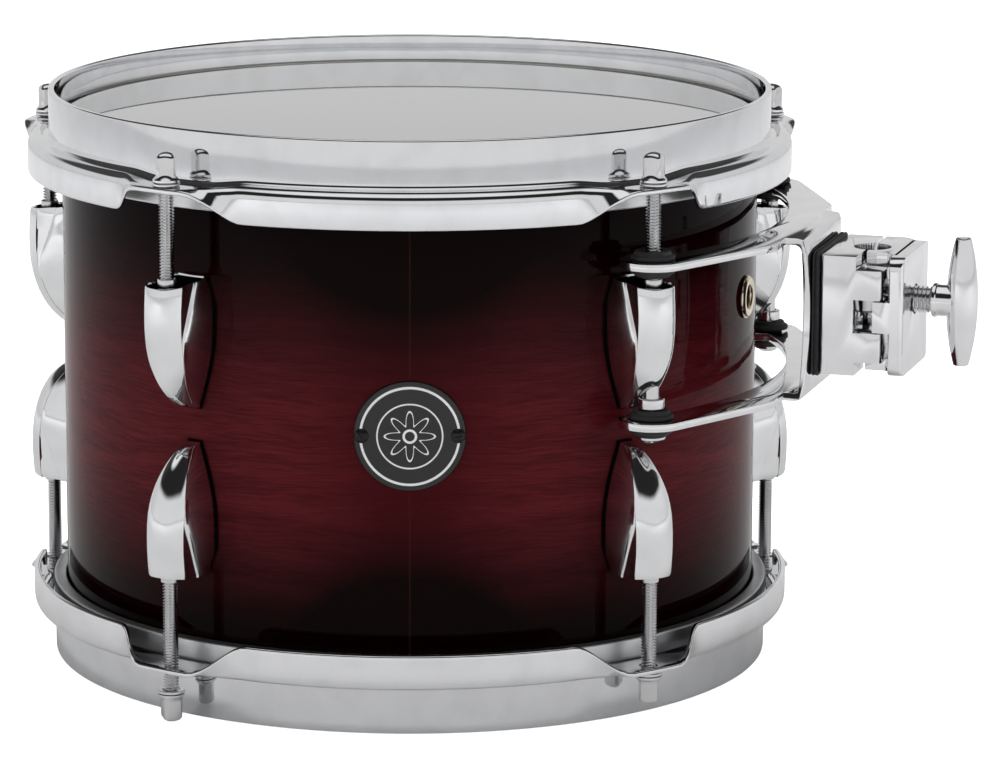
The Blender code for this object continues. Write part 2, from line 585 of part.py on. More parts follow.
def make_clamp(chrome, rubber, steel, nylon):
    """Gasket, base, jaw, eyebolt and wing nut, along the X of a frame at the mount's angle."""
    middle = (UPPER_PLATE_TOP + LOWER_PLATE_TOP - PLATE_THICKNESS) / 2 + CLAMP_LIFT
    place = facing(MOUNT_ANGLE, 0.0, middle)
    bolt_place = place @ Matrix.Translation((0, 0, BOLT_LIFT))
    half = CLAMP_HALF_DEPTH
    tall = CLAMP_HEIGHT / 2
    gasket_start = WALL_OUTER + GAP
    base_start = gasket_start + GASKET_THICKNESS + GAP
    base_end = base_start + BASE_LENGTH
    bore_x = base_end - BORE_FROM_END
    jaw_start = base_end + JAW_GAP
    jaw_end = jaw_start + JAW_THICKNESS
    gasket = add("clamp_gasket", block("clamp_gasket", (gasket_start, -half - 0.0012, -tall - 0.0012),
                                       (gasket_start + GASKET_THICKNESS, half + 0.0012, tall + 0.0012)), rubber, place)
    bevel(gasket, 0.0008)

    base = add("clamp_base", block("clamp_base", (base_start, -half, -tall), (base_end, half, tall)), chrome, place)
    bevel(base, 0.001)
    window = WINDOW_HEIGHT / 2
    channel_end = base_end + 0.01
    eye_outer = L_ROD_BORE_RADIUS + GAP + EYE_WALL
    pocket = eye_outer + EYE_CLEARANCE
    pocket_half = EYE_HEIGHT / 2 + EYE_CLEARANCE
    at_bore = place @ Matrix.Translation((bore_x, 0, 0))
    tools = [("l_rod_bore", cylinder("l_rod_bore", L_ROD_BORE_RADIUS, -tall - 0.01, tall + 0.01, 24), at_bore),
             ("l_rod_channel", block("l_rod_channel", (bore_x, -L_ROD_BORE_RADIUS, -tall - 0.01),
                                     (channel_end, L_ROD_BORE_RADIUS, tall + 0.01)), place),
             ("jaw_window", block("jaw_window", (base_end - WINDOW_LENGTH, -half - 0.01, -window),
                                  (channel_end, half + 0.01, window)), place),
             ("eye_pocket", cylinder("eye_pocket", pocket, -pocket_half, pocket_half, 24),
              bolt_place @ Matrix.Translation((bore_x, 0, 0)))]
    split = base_end - SPLIT_FROM_END
    for side, label in ((-1, "bottom"), (1, "top")):
        name = f"jaw_ear_seat_{label}"
        low = (split, -half - 0.01, side * tall - JAW_EAR_HEIGHT)
        high = (channel_end, half + 0.01, side * tall + JAW_EAR_HEIGHT)
        tools.append((name, block(name, low, high), place))
    for name, mesh, where in tools:
        boolean(base, cutter(name, mesh, where))

    jaw = add("clamp_jaw", block("clamp_jaw", (jaw_start, -half, -tall), (jaw_end, half, tall)), chrome, place)
    finger_height = window - 0.0004
    for side, label in ((-1, "near"), (1, "far")):
        reach = sorted((side * (pocket + 0.0001), side * half))
        name = f"jaw_finger_{label}"
        finger = block(name, (jaw_start - FINGER_LENGTH, reach[0], -finger_height),
                       (jaw_start + 0.001, reach[1], finger_height))
        boolean(jaw, cutter(name, finger, place), "UNION")
    for side, label in ((-1, "bottom"), (1, "top")):
        levels = sorted((side * tall, side * (tall - JAW_EAR_HEIGHT + JAW_EAR_CLEARANCE)))
        name = f"jaw_ear_{label}"
        ear = block(name, (split + SPLIT_GAP, RECESS_DEPTH - half, levels[0]), (jaw_start + 0.001, half, levels[1]))
        boolean(jaw, cutter(name, ear, place), "UNION")
    jaw_bore = cylinder("jaw_rod_bore", L_ROD_BORE_RADIUS, -tall - 0.01, tall + 0.01, 24)
    boolean(jaw, cutter("jaw_rod_bore", jaw_bore, at_bore))
    bolt_hole = cylinder("jaw_bolt_hole", BOLT_RADIUS + ROD_CLEARANCE, jaw_start - 0.01, jaw_end + 0.01, 18)
    boolean(jaw, cutter("jaw_bolt_hole", bolt_hole, along_x(bolt_place)))

    make_eyebolt(steel, bolt_place, bore_x, eye_outer, jaw_end)
    make_wing_nut(chrome, nylon, bolt_place, jaw_end + NUT_STAND_OFF)


def make_eyebolt(finish, place, bore_x, eye_outer, jaw_end):
    eye = cylinder("clamp_eyebolt", eye_outer, -EYE_HEIGHT / 2, EYE_HEIGHT / 2, 24)
    bolt = add("clamp_eyebolt", eye, finish, place @ Matrix.Translation((bore_x, 0, 0)))
    shank_end = jaw_end + BOLT_LENGTH - JAW_THICKNESS
    shank = cylinder("eyebolt_shank", BOLT_RADIUS, bore_x + eye_outer - 0.0015, shank_end, 16)
    boolean(bolt, cutter("eyebolt_shank", shank, along_x(place)), "UNION")
    hole = cylinder("eyebolt_eye", L_ROD_BORE_RADIUS + GAP, -0.02, 0.02, 24)
    boolean(bolt, cutter("eyebolt_eye", hole, place @ Matrix.Translation((bore_x, 0, 0))))


def make_wing_nut(finish, nylon, place, start):
    """A spindle handle across a threaded neck, with a thrust washer held in the neck's counterbore."""
    at_nut = place @ Matrix.Translation((start, 0, 0))
    handle_x = NUT_NECK_LENGTH + HANDLE_RADIUS * 0.9
    shares = ((-1, HANDLE_END_RADIUS * 0.55), (-0.97, HANDLE_END_RADIUS), (-0.5, HANDLE_RADIUS * 0.8),
              (-0.15, HANDLE_RADIUS), (0.15, HANDLE_RADIUS), (0.5, HANDLE_RADIUS * 0.8), (0.97, HANDLE_END_RADIUS),
              (1, HANDLE_END_RADIUS * 0.55))
    sections = [[(x + handle_x, y, HANDLE_LENGTH / 2 * share) for x, y, _ in round_section(radius, 0, 12)]
                for share, radius in shares]
    nut = add("wing_nut", loft("wing_nut", sections), finish, at_nut)
    neck = cylinder("nut_neck", NUT_NECK_RADIUS, 0, handle_x, 18)
    boolean(nut, cutter("nut_neck", neck, along_x(at_nut)), "UNION")
    # The bore takes the bolt's end when the nut has closed on the jaw.
    bore = cylinder("nut_bore", BOLT_RADIUS + GAP, -0.01, BOLT_LENGTH - JAW_THICKNESS + GAP, 18)
    boolean(nut, cutter("nut_bore", bore, along_x(at_nut)))
    recess_depth = THRUST_WASHER_THICKNESS + GAP
    recess = cylinder("nut_recess", NUT_NECK_RADIUS - 0.0004, -0.01, recess_depth, 18)
    boolean(nut, cutter("nut_recess", recess, along_x(at_nut)))
    washer("thrust_washer", nylon, NUT_NECK_RADIUS - 0.0004 - GAP / 2, BOLT_RADIUS + GAP / 2, 0.0,
           THRUST_WASHER_THICKNESS, along_x(at_nut), 18)


def main():
    clear_scene()
    start_collections()
    lacquer = material("cherry_burst_lacquer", (0.10, 0.012, 0.014), 0.12)
    chrome = material("chrome", (0.78, 0.79, 0.81), 0.06, 1.0)
    steel = material("plated_steel", (0.66, 0.66, 0.67), 0.2, 1.0)
    brass = material("plated_brass", (0.70, 0.62, 0.48), 0.2, 1.0)
    film = material("clear_film", (0.85, 0.86, 0.86), 0.1, 0.0, 0.35)
    aluminium = material("flesh_hoop_aluminium", (0.75, 0.76, 0.77), 0.35, 1.0)
    rubber = material("black_rubber", (0.02, 0.02, 0.02), 0.7)
    enamel = material("black_enamel", (0.01, 0.01, 0.011), 0.15)
    nylon = material("white_nylon", (0.8, 0.8, 0.78), 0.5)
    make_shell(lacquer)
    make_vent(brass)
    make_badge(enamel, enamel)
    for name, bottom in (("batter", False), ("resonant", True)):
        make_head(name, film, aluminium, bottom)
        make_hoop(name, chrome, bottom)
    make_lugs_and_rods(chrome, steel, steel)
    make_bracket(chrome, rubber, steel)
    make_clamp(chrome, rubber, steel, nylon)


main()
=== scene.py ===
"""Looks of a ten-inch tom tom drum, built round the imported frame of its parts.

The drum stands on its lower rim. Its axis is Z, the badge faces -Y, and the origin is the centre of the
batter head's playing face. Every length is in metres.
"""

from __future__ import annotations

import json
import logging
import math
from dataclasses import dataclass, field
from enum import Enum
from typing import Callable, Iterable, Sequence

import bmesh
import bpy
from mathutils import Matrix, Vector

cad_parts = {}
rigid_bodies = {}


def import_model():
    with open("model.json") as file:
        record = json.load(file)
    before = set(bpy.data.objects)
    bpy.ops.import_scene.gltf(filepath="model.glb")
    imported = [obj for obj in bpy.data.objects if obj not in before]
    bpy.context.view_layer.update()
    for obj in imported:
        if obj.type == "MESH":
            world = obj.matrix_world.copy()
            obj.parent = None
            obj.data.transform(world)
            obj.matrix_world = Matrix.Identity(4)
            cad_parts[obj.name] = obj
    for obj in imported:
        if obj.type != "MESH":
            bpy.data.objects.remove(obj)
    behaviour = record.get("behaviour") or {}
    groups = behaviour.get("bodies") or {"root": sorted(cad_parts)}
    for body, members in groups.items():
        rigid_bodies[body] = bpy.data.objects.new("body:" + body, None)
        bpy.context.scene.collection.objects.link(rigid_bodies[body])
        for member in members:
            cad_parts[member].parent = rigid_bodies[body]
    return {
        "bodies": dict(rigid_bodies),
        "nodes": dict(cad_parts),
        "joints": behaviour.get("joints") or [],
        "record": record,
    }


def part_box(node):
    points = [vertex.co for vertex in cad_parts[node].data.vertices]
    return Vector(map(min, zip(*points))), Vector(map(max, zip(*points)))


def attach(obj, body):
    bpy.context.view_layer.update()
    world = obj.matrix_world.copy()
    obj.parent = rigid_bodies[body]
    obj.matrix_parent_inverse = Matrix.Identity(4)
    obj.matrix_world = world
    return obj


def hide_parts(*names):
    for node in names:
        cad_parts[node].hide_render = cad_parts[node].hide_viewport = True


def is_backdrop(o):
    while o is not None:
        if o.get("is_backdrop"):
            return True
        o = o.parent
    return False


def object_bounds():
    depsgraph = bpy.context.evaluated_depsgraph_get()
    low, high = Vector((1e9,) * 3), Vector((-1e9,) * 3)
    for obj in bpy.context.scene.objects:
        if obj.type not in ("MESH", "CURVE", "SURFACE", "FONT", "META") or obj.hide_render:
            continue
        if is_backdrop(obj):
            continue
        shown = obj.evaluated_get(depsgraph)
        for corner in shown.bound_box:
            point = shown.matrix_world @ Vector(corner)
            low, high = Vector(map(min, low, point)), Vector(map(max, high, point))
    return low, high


LOG = logging.getLogger("tom_tom_drum")
Pair = tuple[float, float]
Point = tuple[float, float, float]
Colour = tuple[float, float, float]


class Value:
    """A number that a shader works out, kept as the socket that gives it."""

    def __init__(self, graph: "Graph", socket: bpy.types.NodeSocket) -> None:
        """Keeps the socket with the graph that new nodes go in.

        Args:
            graph: The graph that the socket's node is in.
            socket: The output that gives the number.
        """
        self.graph = graph
        self.socket = socket

    def _maths(self, operation: str, *values: "Value | float") -> "Value":
        """A Math node on these values."""
        return self.graph.node("ShaderNodeMath", {"operation": operation}, dict(enumerate(values)))

    def __add__(self, other: "Value | float") -> "Value":
        """Self plus other."""
        return self._maths("ADD", self, other)

    def __radd__(self, other: float) -> "Value":
        """Other plus self."""
        return self._maths("ADD", other, self)

    def __sub__(self, other: "Value | float") -> "Value":
        """Self minus other."""
        return self._maths("SUBTRACT", self, other)

    def __rsub__(self, other: float) -> "Value":
        """Other minus self."""
        return self._maths("SUBTRACT", other, self)

    def __mul__(self, other: "Value | float") -> "Value":
        """Self times other."""
        return self._maths("MULTIPLY", self, other)

    def __rmul__(self, other: float) -> "Value":
        """Other times self."""
        return self._maths("MULTIPLY", other, self)

    def __pow__(self, other: "Value | float") -> "Value":
        """Self to the power of other."""
        return self._maths("POWER", self, other)

    def __rpow__(self, other: float) -> "Value":
        """Other to the power of self."""
        return self._maths("POWER", other, self)

    def __abs__(self) -> "Value":
        """The size of self without its sign."""
        return self._maths("ABSOLUTE", self)

    def least(self, other: "Value | float") -> "Value":
        """The smaller of self and other."""
        return self._maths("MINIMUM", self, other)

    def most(self, other: "Value | float") -> "Value":
        """The larger of self and other."""
        return self._maths("MAXIMUM", self, other)

    def cosine(self) -> "Value":
        """The cosine of self."""
        return self._maths("COSINE", self)

    def root(self) -> "Value":
        """The square root of self."""
        return self._maths("SQRT", self)

    def angle_with(self, across: "Value") -> "Value":
        """The angle whose tangent is self over across."""
        return self._maths("ARCTAN2", self, across)

    def fade(self, start: float, end: float) -> "Value":
        """Self mapped smoothly from 0 at start to 1 at end.

        Args:
            start: The value that gives 0.
            end: The value that gives 1; it may be the smaller one.

        Returns:
            The mapped value, held between 0 and 1.
        """
        low, high, first, last = (start, end, 0.0, 1.0) if start < end else (end, start, 1.0, 0.0)
        settings = {"interpolation_type": "SMOOTHSTEP"}
        return self.graph.node("ShaderNodeMapRange", settings,
                               {0: self, 1: low, 2: high, 3: first, 4: last})


class Graph:
    """The nodes of one material or world."""

    def __init__(self, tree: bpy.types.NodeTree) -> None:
        """Starts on an empty tree.

        Args:
            tree: The node tree to fill.
        """
        self.tree = tree
        tree.nodes.clear()

    def node(self, kind: str, settings: dict, inputs: dict, output: int | str = 0) -> Value:
        """Adds any node.

        Args:
            kind: The node's Blender type.
            settings: Its properties, set before its sockets.
            inputs: Values or links by socket name or number.
            output: The output that is returned.

        Returns:
            The chosen output.
        """
        made = self.tree.nodes.new(kind)
        for name, value in settings.items():
            setattr(made, name, value)
        for name, value in inputs.items():
            socket = made.inputs[name]
            if isinstance(value, Value):
                self.tree.links.new(value.socket, socket)
            else:
                socket.default_value = value
        return Value(self, made.outputs[output])

    def coordinates(self) -> tuple[Value, Value, Value]:
        """The three object coordinates of the shaded point."""
        place = self.node("ShaderNodeTexCoord", {}, {}, "Object")
        return tuple(self.node("ShaderNodeSeparateXYZ", {}, {0: place}, axis) for axis in range(3))

    def vector(self, x: Value | float, y: Value | float, z: Value | float) -> Value:
        """A vector of three numbers."""
        return self.node("ShaderNodeCombineXYZ", {}, {0: x, 1: y, 2: z})

    def noise(self, where: Value, scale: float, detail: float = 3.0, roughness: float = 0.5) -> Value:
        """Fractal noise between 0 and 1 at a vector."""
        inputs = {"Vector": where, "Scale": scale, "Detail": detail, "Roughness": roughness}
        return self.node("ShaderNodeTexNoise", {}, inputs, 0)

    def blend(self, share: Value | float, first: Value | Colour, second: Value | Colour) -> Value:
        """A mix of two colours, first where share is 0."""
        ends = [value if isinstance(value, Value) else (*value, 1.0) for value in (first, second)]
        return self.node("ShaderNodeMix", {"data_type": "RGBA"}, {0: share, 6: ends[0], 7: ends[1]}, 2)

    def bump(self, height: Value, distance: float, strength: float = 1.0) -> Value:
        """A normal tilted by a height."""
        inputs = {"Height": height, "Distance": distance, "Strength": strength}
        return self.node("ShaderNodeBump", {}, inputs)

    def finish_with(self, shader: Value, kind: str = "ShaderNodeOutputMaterial") -> None:
        """Links a shader to the output."""
        end = self.tree.nodes.new(kind)
        self.tree.links.new(shader.socket, end.inputs["Surface"])


@dataclass(frozen=True)
class Finish:
    """A finish that is one Principled surface, whose details a subclass adds."""

    name: str
    colour: Colour = (0.8, 0.8, 0.8)
    roughness: float = 0.3
    metallic: float = 0.0
    fixed: dict = field(default_factory=dict, hash=False)

    def details(self, graph: Graph) -> dict:
        """What changes over the surface, by socket name."""
        return {}

    def material(self) -> bpy.types.Material:
        """The finish as a material, made once.

        Returns:
            The material of this finish's name.
        """
        known = bpy.data.materials.get(f"{self.name}_finish")
        if known is not None:
            return known
        made = bpy.data.materials.new(f"{self.name}_finish")
        made.use_nodes = True
        made.diffuse_color = (*self.colour, 1.0)
        graph = Graph(made.node_tree)
        inputs = {"Base Color": (*self.colour, 1.0), "Roughness": self.roughness, "Metallic": self.metallic}
        inputs.update(self.fixed)
        inputs.update(self.details(graph))
        graph.finish_with(graph.node("ShaderNodeBsdfPrincipled", {}, inputs))
        return made


@dataclass(frozen=True)
class Plating(Finish):
    """Polished plating: faint cloudiness in its gloss and a slow waviness of the metal under it."""

    cloud: float = 0.03
    wave: float = 0.00001
    wave_scale: float = 60.0

    def details(self, graph: Graph) -> dict:
        """Cloudy roughness, hairline polishing marks and a slow wave.

        Args:
            graph: The material's graph.

        Returns:
            Roughness, Normal and Base Color links.
        """
        x, y, z = graph.coordinates()
        where = graph.vector(x, y, z)
        clouds = graph.noise(where, 90.0, 4.0)
        lines = graph.noise(graph.vector(x * 40.0, y * 40.0, z * 900.0), 6.0, 2.0)
        slow = graph.noise(where, self.wave_scale, 1.0)
        darker = tuple(channel * 0.93 for channel in self.colour)
        return {"Roughness": self.roughness + clouds * self.cloud + lines * (self.cloud * 0.3),
                "Base Color": graph.blend(clouds.fade(0.35, 0.75), self.colour, darker),
                "Normal": graph.bump(slow, self.wave)}


@dataclass(frozen=True)
class BurstLacquer(Finish):
    """Clear lacquer over stained figured veneer, sprayed nearly black towards both bearing edges."""

    middle: float = -0.0936
    half_depth: float = 0.093
    radius: float = 0.126
    heart: Colour = (0.078, 0.0075, 0.0105)
    edge: Colour = (0.0030, 0.0001, 0.0003)

    def details(self, graph: Graph) -> dict:
        """Burst, seam, flame figure and pores in the veneer.

        Args:
            graph: The material's graph.

        Returns:
            Base Color, Roughness and Normal links.
        """
        x, y, z = graph.coordinates()
        turn = abs(x.angle_with(0.0 - y))
        around = turn * self.radius
        height = z - self.middle
        drift = graph.noise(graph.vector(around, height, 0.3), 22.0, 2.0)
        wavy = height + (drift - 0.5) * 0.010
        streaks = graph.noise(graph.vector(around * 70.0, wavy * 1150.0, 0.0), 1.0, 4.0, 0.66)
        flame = graph.noise(graph.vector(around * 22.0, wavy * 170.0, 4.0), 1.0, 3.0, 0.5)
        pores = graph.noise(graph.vector(around * 150.0, wavy * 2700.0, 8.0), 1.0, 2.0, 0.6)
        cloud = graph.noise(graph.vector(around * 9.0, height * 12.0, 2.0), 1.0, 2.0)
        figure = streaks.fade(0.26, 0.78) * 0.62 + flame.fade(0.30, 0.74) * 0.38
        bright = tuple(channel * factor for channel, factor in zip(self.heart, (1.60, 1.9, 1.75)))
        deep = tuple(channel * 0.55 for channel in self.heart)
        wood = graph.blend(figure, deep, bright)
        wood = graph.blend(pores.fade(0.60, 0.74) * 0.5, wood, deep)
        seam_pull = around.fade(0.046, 0.0)
        low = height + 0.004 + (cloud - 0.5) * 0.012
        above = low.fade(0.004, 0.070) + seam_pull * low.fade(0.014, 0.064) * 0.45
        below = (0.0 - low).fade(0.016, 0.070) + seam_pull * (0.0 - low).fade(0.012, 0.060) * 0.55
        burst = (above + below).least(1.0)
        richer = graph.blend(seam_pull * 0.75, wood, (self.heart[0] * 0.55, 0.0015, 0.003))
        colour = graph.blend(burst ** 0.9, richer, self.edge)
        seam = around.fade(0.0005, 0.0) * 0.16
        colour = graph.blend(seam, colour, (0.12, 0.03, 0.02))
        peel = graph.noise(graph.vector(around, height, 0.0), 160.0, 1.0)
        return {"Base Color": colour, "Roughness": 0.34 + streaks * 0.12,
                "Normal": graph.bump(peel, 0.000004)}


@dataclass(frozen=True)
class Veneer(Finish):
    """Bare or sealed wood with a fine figure along one direction."""

    grain: Point = (40.0, 40.0, 900.0)
    depth: float = 0.35

    def details(self, graph: Graph) -> dict:
        """Light and dark grain lines.

        Args:
            graph: The material's graph.

        Returns:
            Base Color and Normal links.
        """
        x, y, z = graph.coordinates()
        across, along, up = self.grain
        lines = graph.noise(graph.vector(x * across, y * along, z * up), 1.0, 4.0)
        darker = tuple(channel * (1 - self.depth) for channel in self.colour)
        return {"Base Color": graph.blend(lines.fade(0.35, 0.7), darker, self.colour),
                "Roughness": self.roughness + lines * 0.15, "Normal": graph.bump(lines, 0.00003)}


@dataclass(frozen=True)
class Rubber(Finish):
    """Moulded rubber with a fine matt skin and faint dust."""

    def details(self, graph: Graph) -> dict:
        """Skin texture and dusty patches.

        Args:
            graph: The material's graph.

        Returns:
            Base Color, Roughness and Normal links.
        """
        where = graph.vector(*graph.coordinates())
        skin = graph.noise(where, 3200.0, 2.0)
        dust = graph.noise(where, 240.0, 3.0).fade(0.5, 0.8)
        paler = tuple(channel * 2.2 for channel in self.colour)
        return {"Base Color": graph.blend(dust, self.colour, paler),
                "Roughness": self.roughness + skin * 0.15, "Normal": graph.bump(skin, 0.00004)}


@dataclass(frozen=True)
class ClearFilm(Finish):
    """Clear polyester film: mostly seen through, with a gloss that grows at a low angle."""

    haze: float = 0.34

    def material(self) -> bpy.types.Material:
        """Transparent film under a gloss layer, with a trace of milky haze.

        Returns:
            The film's material.
        """
        known = bpy.data.materials.get(f"{self.name}_finish")
        if known is not None:
            return known
        made = bpy.data.materials.new(f"{self.name}_finish")
        made.use_nodes = True
        graph = Graph(made.node_tree)
        where = graph.vector(*graph.coordinates())
        cloud = graph.noise(where, 30.0, 3.0)
        clear = graph.node("ShaderNodeBsdfTransparent", {}, {"Color": (0.975, 0.98, 0.975, 1.0)})
        milk = graph.node("ShaderNodeBsdfDiffuse", {}, {"Color": (*self.colour, 1.0)})
        body = graph.node("ShaderNodeMixShader", {}, {0: self.haze + cloud * 0.03, 1: clear, 2: milk})
        gloss = graph.node("ShaderNodeBsdfGlossy", {},
                           {"Color": (1.0, 1.0, 1.0, 1.0), "Roughness": self.roughness})
        fresnel = graph.node("ShaderNodeFresnel", {}, {"IOR": 1.64})
        graph.finish_with(graph.node("ShaderNodeMixShader", {},
                                     {0: (fresnel * 1.35).least(1.0), 1: body, 2: gloss}))
        return made


@dataclass(frozen=True)
class BadgeEnamel(Finish):
    """Black enamel printed with a broken ring and a plain eight-rayed rosette."""

    centre: float = -0.0927
    ring: float = 0.0169
    line: float = 0.00042

    def details(self, graph: Graph) -> dict:
        """The print's colour.

        Args:
            graph: The material's graph.

        Returns:
            Base Color and Roughness links.
        """
        x, _, z = graph.coordinates()
        up = z - self.centre
        reach = (x * x + up * up).root()
        turn = up.angle_with(x)
        soft = 0.00012

        def stroke(distance: Value, half: float) -> Value:
            """One inside a line, 0 outside it."""
            return abs(distance).fade(half + soft, half - soft)

        gap = abs(up).fade(0.0022, 0.0026)
        ring = stroke(reach - self.ring, self.line) * gap
        petal = 0.0062 + (turn * 8.0).cosine() * 0.0024
        star = stroke(reach - petal, 0.00034)
        hub = stroke(reach - 0.0021, 0.0004)
        outer = stroke(reach - 0.0112, 0.00026)
        mask = ring.most(star).most(hub).most(outer)
        speck = graph.noise(graph.vector(x, up, 0.0), 2500.0, 2.0)
        white = graph.blend(speck, (0.78, 0.78, 0.79), (0.86, 0.86, 0.86))
        return {"Base Color": graph.blend(mask, self.colour, white),
                "Roughness": self.roughness + mask * 0.2}


class Palette(Enum):
    """The finishes of the drum."""

    HOOP = Plating("hoop_chrome", (0.80, 0.805, 0.82), 0.035, 1.0)
    LUG = Plating("lug_chrome", (0.80, 0.805, 0.815), 0.05, 1.0)
    ROD = Plating("rod_chrome", (0.72, 0.72, 0.73), 0.10, 1.0)
    STEEL = Plating("plated_steel", (0.66, 0.66, 0.67), 0.16, 1.0, cloud=0.08)
    BRACKET = Plating("bracket_chrome", (0.80, 0.80, 0.815), 0.04, 1.0)
    CLAMP = Plating("clamp_chrome", (0.80, 0.80, 0.815), 0.06, 1.0, wave=0.00002, wave_scale=120.0)
    BRASS = Plating("vent_brass", (0.74, 0.66, 0.50), 0.12, 1.0)
    ALUMINIUM = Plating("flesh_hoop_aluminium", (0.72, 0.73, 0.74), 0.32, 1.0, cloud=0.12)
    LACQUER = BurstLacquer("cherry_burst_lacquer", (0.07, 0.01, 0.012), 0.35, 0.0,
                           {"Coat Weight": 1.0, "Coat Roughness": 0.012, "Coat IOR": 1.13,
                            "Specular IOR Level": 0.0})
    SEALER = Veneer("silver_sealer", (0.56, 0.56, 0.55), 0.5, 0.0, {}, (60.0, 60.0, 14.0), 0.16)
    MAPLE = Veneer("maple_edge", (0.72, 0.56, 0.38), 0.45, 0.0, {}, (500.0, 500.0, 60.0), 0.25)
    FILM = ClearFilm("clear_film", (0.86, 0.87, 0.86), 0.02)
    RUBBER = Rubber("black_rubber", (0.012, 0.012, 0.013), 0.55)
    ENAMEL = BadgeEnamel("badge_enamel", (0.006, 0.006, 0.007), 0.16)
    BLACK_STEEL = Plating("black_screw", (0.015, 0.015, 0.016), 0.28, 0.6)
    # Near-black and nearly without gloss: the gasket's black rubber, and painted shade inside each lug's
    # mouth.
    GASKET_AND_CAVITY_SHADE = Rubber("gasket_black_and_cavity_shade", (0.001, 0.001, 0.001), 0.8, 0.0, {"Specular IOR Level": 0.05})
    NYLON = Rubber("thrust_nylon", (0.7, 0.7, 0.68), 0.45)

    def material(self) -> bpy.types.Material:
        """This finish's material."""
        return self.value.material()


@dataclass(frozen=True)
class Fillet:
    """A corner of an outline, with the radius and the number of steps that round it."""

    place: Pair
    radius: float = 0.0
    steps: int = 4


def curve(start: Vector, knee: Vector, end: Vector, share: float) -> Vector:
    """A point on the curve from start to end that bends towards a knee."""
    return start * (1 - share) ** 2 + knee * (2 * share * (1 - share)) + end * share ** 2


def rounded(corners: Sequence[Fillet], closed: bool = True) -> list[Pair]:
    """An outline through corners, each rounded by an arc.

    Args:
        corners: The corners in order.
        closed: True where the last corner joins the first.

    Returns:
        The outline's points, with the same count for the same number of corners and steps.
    """
    points: list[Pair] = []
    count = len(corners)
    for index, corner in enumerate(corners):
        here = Vector(corner.place)
        if corner.radius <= 0 or (not closed and index in (0, count - 1)):
            points.append(corner.place)
            continue
        back = Vector(corners[index - 1].place) - here
        ahead = Vector(corners[(index + 1) % count].place) - here
        bend = math.pi - back.angle(ahead)
        reach = min(corner.radius * math.tan(bend / 2), back.length * 0.49, ahead.length * 0.49)
        start, end = here + back.normalized() * reach, here + ahead.normalized() * reach
        for step in range(corner.steps + 1):
            points.append(tuple(curve(start, here, end, step / corner.steps)))
    return points


def smooth(share: float) -> float:
    """A share from 0 to 1 eased at both ends."""
    share = min(1.0, max(0.0, share))
    return share * share * (3 - 2 * share)


def circle(radius: float, height: float, points: int, start: float = 0.0) -> list[Point]:
    """A ring of points about Z."""
    turns = (start + 2 * math.pi * step / points for step in range(points))
    return [(radius * math.cos(turn), radius * math.sin(turn), height) for turn in turns]


